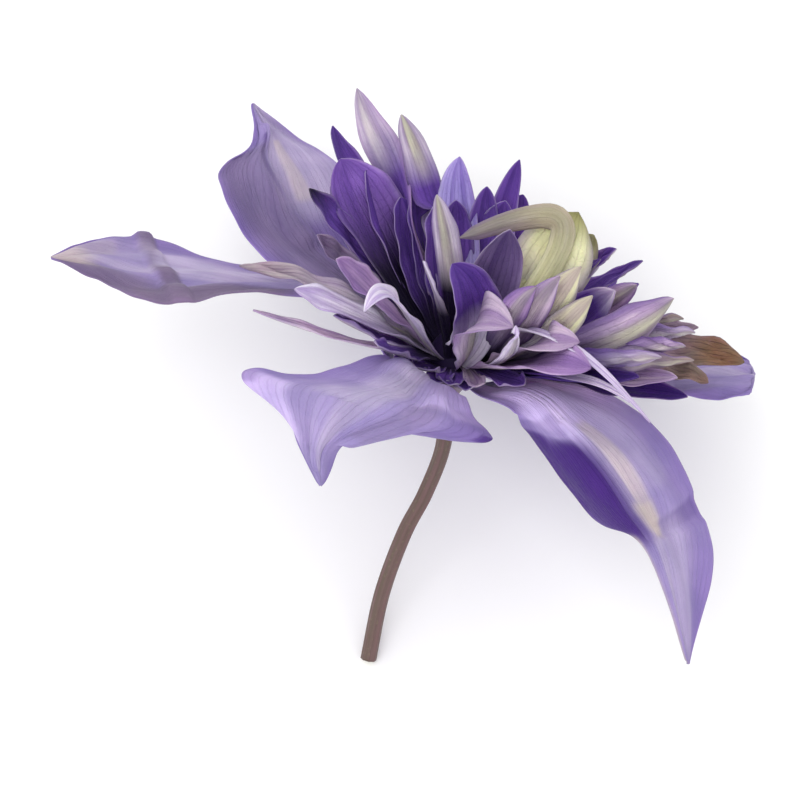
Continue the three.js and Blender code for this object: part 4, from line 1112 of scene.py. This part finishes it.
def staminode_material(name, colours, vein_strength, streak):
    """Two faces of their own colours, with a bar on the back, margins that are
    paler inside and stronger outside, painted shade that darkens the root, and
    withered tips where the age says so."""
    petal = Petal(name, vein_count=9.0, streak_count=4.0)
    web, side, along, inner = petal.web, petal.side, petal.along, petal.inner
    veins, mottle = petal.veins, petal.grain["Mottle"]
    outer = web.math("SUBTRACT", 1.0, inner)
    face = web.attribute("face", "Color")
    colour = web.mix(inner, web.attribute("back", "Color"), face)
    bar = web.times(web.ramp(side, 0.2, 0.55, first=1.0, last=0.0), web.attribute("bar"))
    colour = web.mix(web.times(bar, outer), colour, colours.green_bar)
    back_margin = web.times(web.ramp(side, 0.6, 1.0, last=0.55), outer)
    colour = web.mix(back_margin, colour, face)
    face_margin = web.times(web.ramp(side, 0.8, 1.0, last=0.12), inner)
    colour = web.mix(face_margin, colour, colours.white)
    # Painted shade in the root colour, darkening each blade toward its root.
    shadow = web.times(web.ramp(along, 0.08, 0.46, first=1.0, last=0.0), web.attribute("shade"))
    colour = web.mix(shadow, colour, colours.root)
    vein_mask = veined(web, veins, vein_strength, NET_SHARE * vein_strength)
    colour = web.mix(vein_mask, colour, web.tinted(colour, BLADE_VEIN))
    light = web.times(mottle, web.attribute("tint"))
    colour = web.mix(light, colour, web.tinted(colour, BLADE_MOTTLE))
    colour = web.mix(petal.grain["Streaks"], web.tinted(colour, streak), colour)
    withered = web.mix(mottle, colours.brown, colours.rust)
    withered = web.mix(web.times(veins["Veins"], 0.5), withered, colours.root)
    spent = web.times(web.attribute("age"), web.ramp(along, 0.45, 0.8))
    return petal.finished(web.mix(spent, colour, withered), vein_depth=1.2)


def stalk_material(colours):
    """Brown with a pink flush in streaks, duller under the bloom, with brown
    specks, and pale pith on the cut."""
    material, web, shader, place = new_material("Stalk")
    uv = web.uv()
    grain = web.group(petal_grain(), {"Place": place, "UV": uv, "Count": 14.0})
    streak = grain["Streaks"]
    colour = web.mix(streak, colours.stalk, colours.flush)
    top = web.ramp(web.parts(uv)[1], 0.1, 0.3, first=0.85, last=0.0)
    colour = web.mix(top, colour, colours.claw)
    specks = web.ramp(web.noise(place, scale=1500.0, detail=1.0), 0.62, 0.72, last=0.55)
    colour = web.mix(specks, colour, colours.brown)
    colour = web.mix(web.attribute("cut"), colour, colours.pith)
    height = web.plus(web.times(streak, 0.6), web.times(grain["Cells"], 0.5))
    roughness = web.ramp(grain["Mottle"], 0.0, 1.0, first=0.45, last=0.65)
    finish(web, shader, colour, roughness, height, strength=0.5, depth=0.2 * MM)
    return material


def floor_material(colours):
    """A pale matt surface with the faintest unevenness."""
    material, web, shader, place = new_material("Floor")
    clouds = web.noise(place, scale=6.0, detail=3.0)
    colour = web.mix(web.ramp(clouds, 0.3, 0.7, last=0.06), colours.floor, colours.silver)
    web.tree.links.new(colour, shader.inputs["Base Color"])
    web.tree.links.new(web.ramp(clouds, 0.3, 0.7, first=0.75, last=0.85), shader.inputs["Roughness"])
    return material


# ------------------------------------------------------------------ operators


# How a blade is painted where its row says nothing: shares along between which
# its colours change and its tip's colour sets in, strength of the bar on its
# back, strength of the painted shade at its root on violet and on paler blades,
# and how strong its light mottles are drawn.
COLOUR_TURN = (0.25, 0.7)
TIP_TURN = (0.78, 0.98)
BACK_BAR = 0.7
VIOLET_ROOT_SHADE = 0.96
PALE_ROOT_SHADE = 0.45
MOTTLE_DRAWS = (0.15, 0.6)

# Seeds of the random draws. Sepals and blades count up from theirs.
SEPAL_SEED = 20
CUSHION_SEED = 1
CROWN_SEED = 100
TUFT_SEED = 300

CUSHION_LOOK = dict(inner="violet", outer="violet", bar=0)

# Strength of the veins and tint between the streaks.
CROWN_FINISH = (0.22, (0.56, 0.48, 0.68))
TUFT_FINISH = (0.16, (0.78, 0.79, 0.68))


def painted(patch, spec, colours, draw):
    """A blade's patch with its two colours, painted shade at its root, bar, tint and age."""
    inner, outer = spec.get("inner", "violet"), spec.get("outer", "silver")
    along = patch["uv"][:, 1:]
    even = np.ones(len(along))
    share = between(along, *spec.get("turn", COLOUR_TURN))
    last = between(along, *TIP_TURN)
    sides = (("face", spec.get("base", inner), inner), ("back", spec.get("fade", outer), outer))
    for side, near, far in sides:
        stops = [np.array(getattr(colours, name)) for name in (near, far, spec.get("tips", far))]
        patch[side] = (stops[0] * (1 - share) + stops[1] * share) * (1 - last) + stops[2] * last
    patch["shade"] = even * spec.get("shade", VIOLET_ROOT_SHADE if inner in ("violet", "dusk") else PALE_ROOT_SHADE)
    patch["bar"] = spec.get("bar", BACK_BAR) * (share[:, 0] if "fade" in spec else even)
    patch["tint"] = even * drawn(draw, *MOTTLE_DRAWS)
    patch["age"] = even * spec.get("age", 0.0)
    return patch


def blade_patches(specs, settings, colours, seed):
    """One painted patch for each blade."""
    draw = draws(seed)
    full = settings.staminode_thickness / MM
    return [painted(blade_patch(spec, seed + k, full, settings.relief), spec, colours, draw)
            for k, spec in enumerate(specs)]


class BLOOM_OT_add_stalk(bpy.types.Operator):
    """Adds the ribbed stalk with its receptacle and cut end"""

    bl_idname = "bloom.add_stalk"
    bl_label = "Add Stalk"

    def execute(self, context):
        settings, colours = context.scene.bloom_sizes, context.scene.bloom_colours
        patch = stalk_patch(settings.stalk_radius / MM)
        make_piece("bloom_stalk", patch, stalk_material(colours), "stalk")
        return {"FINISHED"}


class BLOOM_OT_add_sepals(bpy.types.Operator):
    """Adds the seven broad sepals with their nerves and waved margins"""

    bl_idname = "bloom.add_sepals"
    bl_label = "Add Sepals"

    def execute(self, context):
        settings, colours = context.scene.bloom_sizes, context.scene.bloom_colours
        material = sepal_material(colours)
        for k, spec in enumerate([*SEPALS, *BACK_SEPALS]):
            patch = sepal_patch(spec, SEPAL_SEED + k, settings)
            along, across = patch["uv"][:, 1], 2 * patch["uv"][:, 0] - 1
            for mark in STROKES:
                patch[mark] = strokes_on(along, across, spec.get(mark, ()))
            make_piece("bloom_" + spec["node"], patch, material, spec["node"])
        return {"FINISHED"}


class BLOOM_OT_add_staminodes(bpy.types.Operator):
    """Adds the violet crown of staminodes on its cushion"""

    bl_idname = "bloom.add_staminodes"
    bl_label = "Add Staminodes"

    def execute(self, context):
        settings, colours = context.scene.bloom_sizes, context.scene.bloom_colours
        specs = [placed(spec) for spec in STAMINODES] + whorl_blades()
        patches = blade_patches(specs, settings, colours, CROWN_SEED)
        base = painted(cushion_patch(), CUSHION_LOOK, colours, draws(CUSHION_SEED))
        material = staminode_material("Staminode", colours, *CROWN_FINISH)
        make_piece("bloom_staminodes", joined([base, *patches]), material, "staminodes")
        return {"FINISHED"}


class BLOOM_OT_add_tuft(bpy.types.Operator):
    """Adds the pale incurved tuft in the middle of the crown"""

    bl_idname = "bloom.add_tuft"
    bl_label = "Add Tuft"

    def execute(self, context):
        settings, colours = context.scene.bloom_sizes, context.scene.bloom_colours
        specs = [placed(spec) for spec in TUFT_BLADES] + tuft_blades()
        patches = blade_patches(specs, settings, colours, TUFT_SEED)
        material = staminode_material("Tuft", colours, *TUFT_FINISH)
        make_piece("bloom_tuft", joined(patches), material, "staminode_tuft")
        return {"FINISHED"}


# The camera looks along the seen frame's depth. Its window is a square whose
# middle is measured from the top of the stalk.
CAMERA_MIDDLE = (-9.2, -4.6, 10)
CAMERA_WINDOW = 143.5
CAMERA_DISTANCE = 1500.0
SENSOR_WIDTH = 36.0

# The stage, in metres and watts.
FLOOR_HALF = 3.0
KEY_LIGHT = dict(direction=(-0.25, 0.12, 1.0), distance=1.2, size=0.8, power=5.4)
STUDIO_LIGHT = 1.12           # strength of the white light from all round


def soft_light(name, direction, distance, size, power):
    """A square soft light that looks at the bloom from a seen direction."""
    data = bpy.data.lights.new(name, "AREA")
    data.size = size
    data.energy = power
    light = bpy.data.objects.new(name, data)
    toward = Vector(unit(turn_back(direction)).tolist())
    light.location = Vector((CENTRE * MM).tolist()) + toward * distance
    light.rotation_euler = toward.to_track_quat("Z", "Y").to_euler()
    bpy.context.scene.collection.objects.link(light)


class BLOOM_OT_add_stage(bpy.types.Operator):
    """Adds the pale floor, the soft light and the camera"""

    bl_idname = "bloom.add_stage"
    bl_label = "Add Stage"

    def execute(self, context):
        scene = context.scene
        corners = [(x * FLOOR_HALF, y * FLOOR_HALF, 0) for x, y in ((-1, -1), (1, -1), (1, 1), (-1, 1))]
        mesh = bpy.data.meshes.new("floor")
        mesh.from_pydata(corners, [], [(0, 1, 2, 3)])
        mesh.materials.append(floor_material(scene.bloom_colours))
        floor = bpy.data.objects.new("floor", mesh)
        scene.collection.objects.link(floor)
        world = bpy.data.worlds.new("studio")
        world.use_nodes = True
        background = world.node_tree.nodes["Background"].inputs
        background["Color"].default_value = (1.0, 1.0, 1.0, 1.0)
        background["Strength"].default_value = STUDIO_LIGHT
        scene.world = world
        soft_light("key", **KEY_LIGHT)
        data = bpy.data.cameras.new("camera")
        data.sensor_width = SENSOR_WIDTH
        data.lens = SENSOR_WIDTH * CAMERA_DISTANCE / CAMERA_WINDOW
        camera = bpy.data.objects.new("camera", data)
        toward = Vector(turn_back((0, 0, 1)).tolist())
        camera.location = Vector((lay(CAMERA_MIDDLE) * MM).tolist()) + toward * CAMERA_DISTANCE * MM
        camera.rotation_euler = toward.to_track_quat("Z", "Y").to_euler()
        scene.collection.objects.link(camera)
        scene.camera = camera
        scene.view_settings.view_transform = "Standard"
        return {"FINISHED"}


class BLOOM_PT_panel(bpy.types.Panel):
    """Lists the bloom's sizes, colours and pieces"""

    bl_label = "Clematis Bloom"
    bl_idname = "BLOOM_PT_panel"
    bl_space_type = "VIEW_3D"
    bl_region_type = "UI"
    bl_category = "Clematis"

    def draw(self, context):
        for group in (context.scene.bloom_sizes, context.scene.bloom_colours):
            for name in group.__annotations__:
                self.layout.prop(group, name)
        for operator in OPERATORS:
            self.layout.operator(operator.bl_idname)


OPERATORS = (
    BLOOM_OT_add_stalk,
    BLOOM_OT_add_sepals,
    BLOOM_OT_add_staminodes,
    BLOOM_OT_add_tuft,
    BLOOM_OT_add_stage,
)
CLASSES = (BloomSizes, BloomColours, *OPERATORS, BLOOM_PT_panel)


def register():
    for each in CLASSES:
        bpy.utils.register_class(each)
    bpy.types.Scene.bloom_sizes = bpy.props.PointerProperty(type=BloomSizes)
    bpy.types.Scene.bloom_colours = bpy.props.PointerProperty(type=BloomColours)


def unregister():
    del bpy.types.Scene.bloom_colours
    del bpy.types.Scene.bloom_sizes
    for each in reversed(CLASSES):
        bpy.utils.unregister_class(each)


def main():
    register()
    bpy.ops.bloom.add_stalk()
    bpy.ops.bloom.add_sepals()
    bpy.ops.bloom.add_staminodes()
    bpy.ops.bloom.add_tuft()
    bpy.ops.bloom.add_stage()


if __name__ == "__main__":
    main()
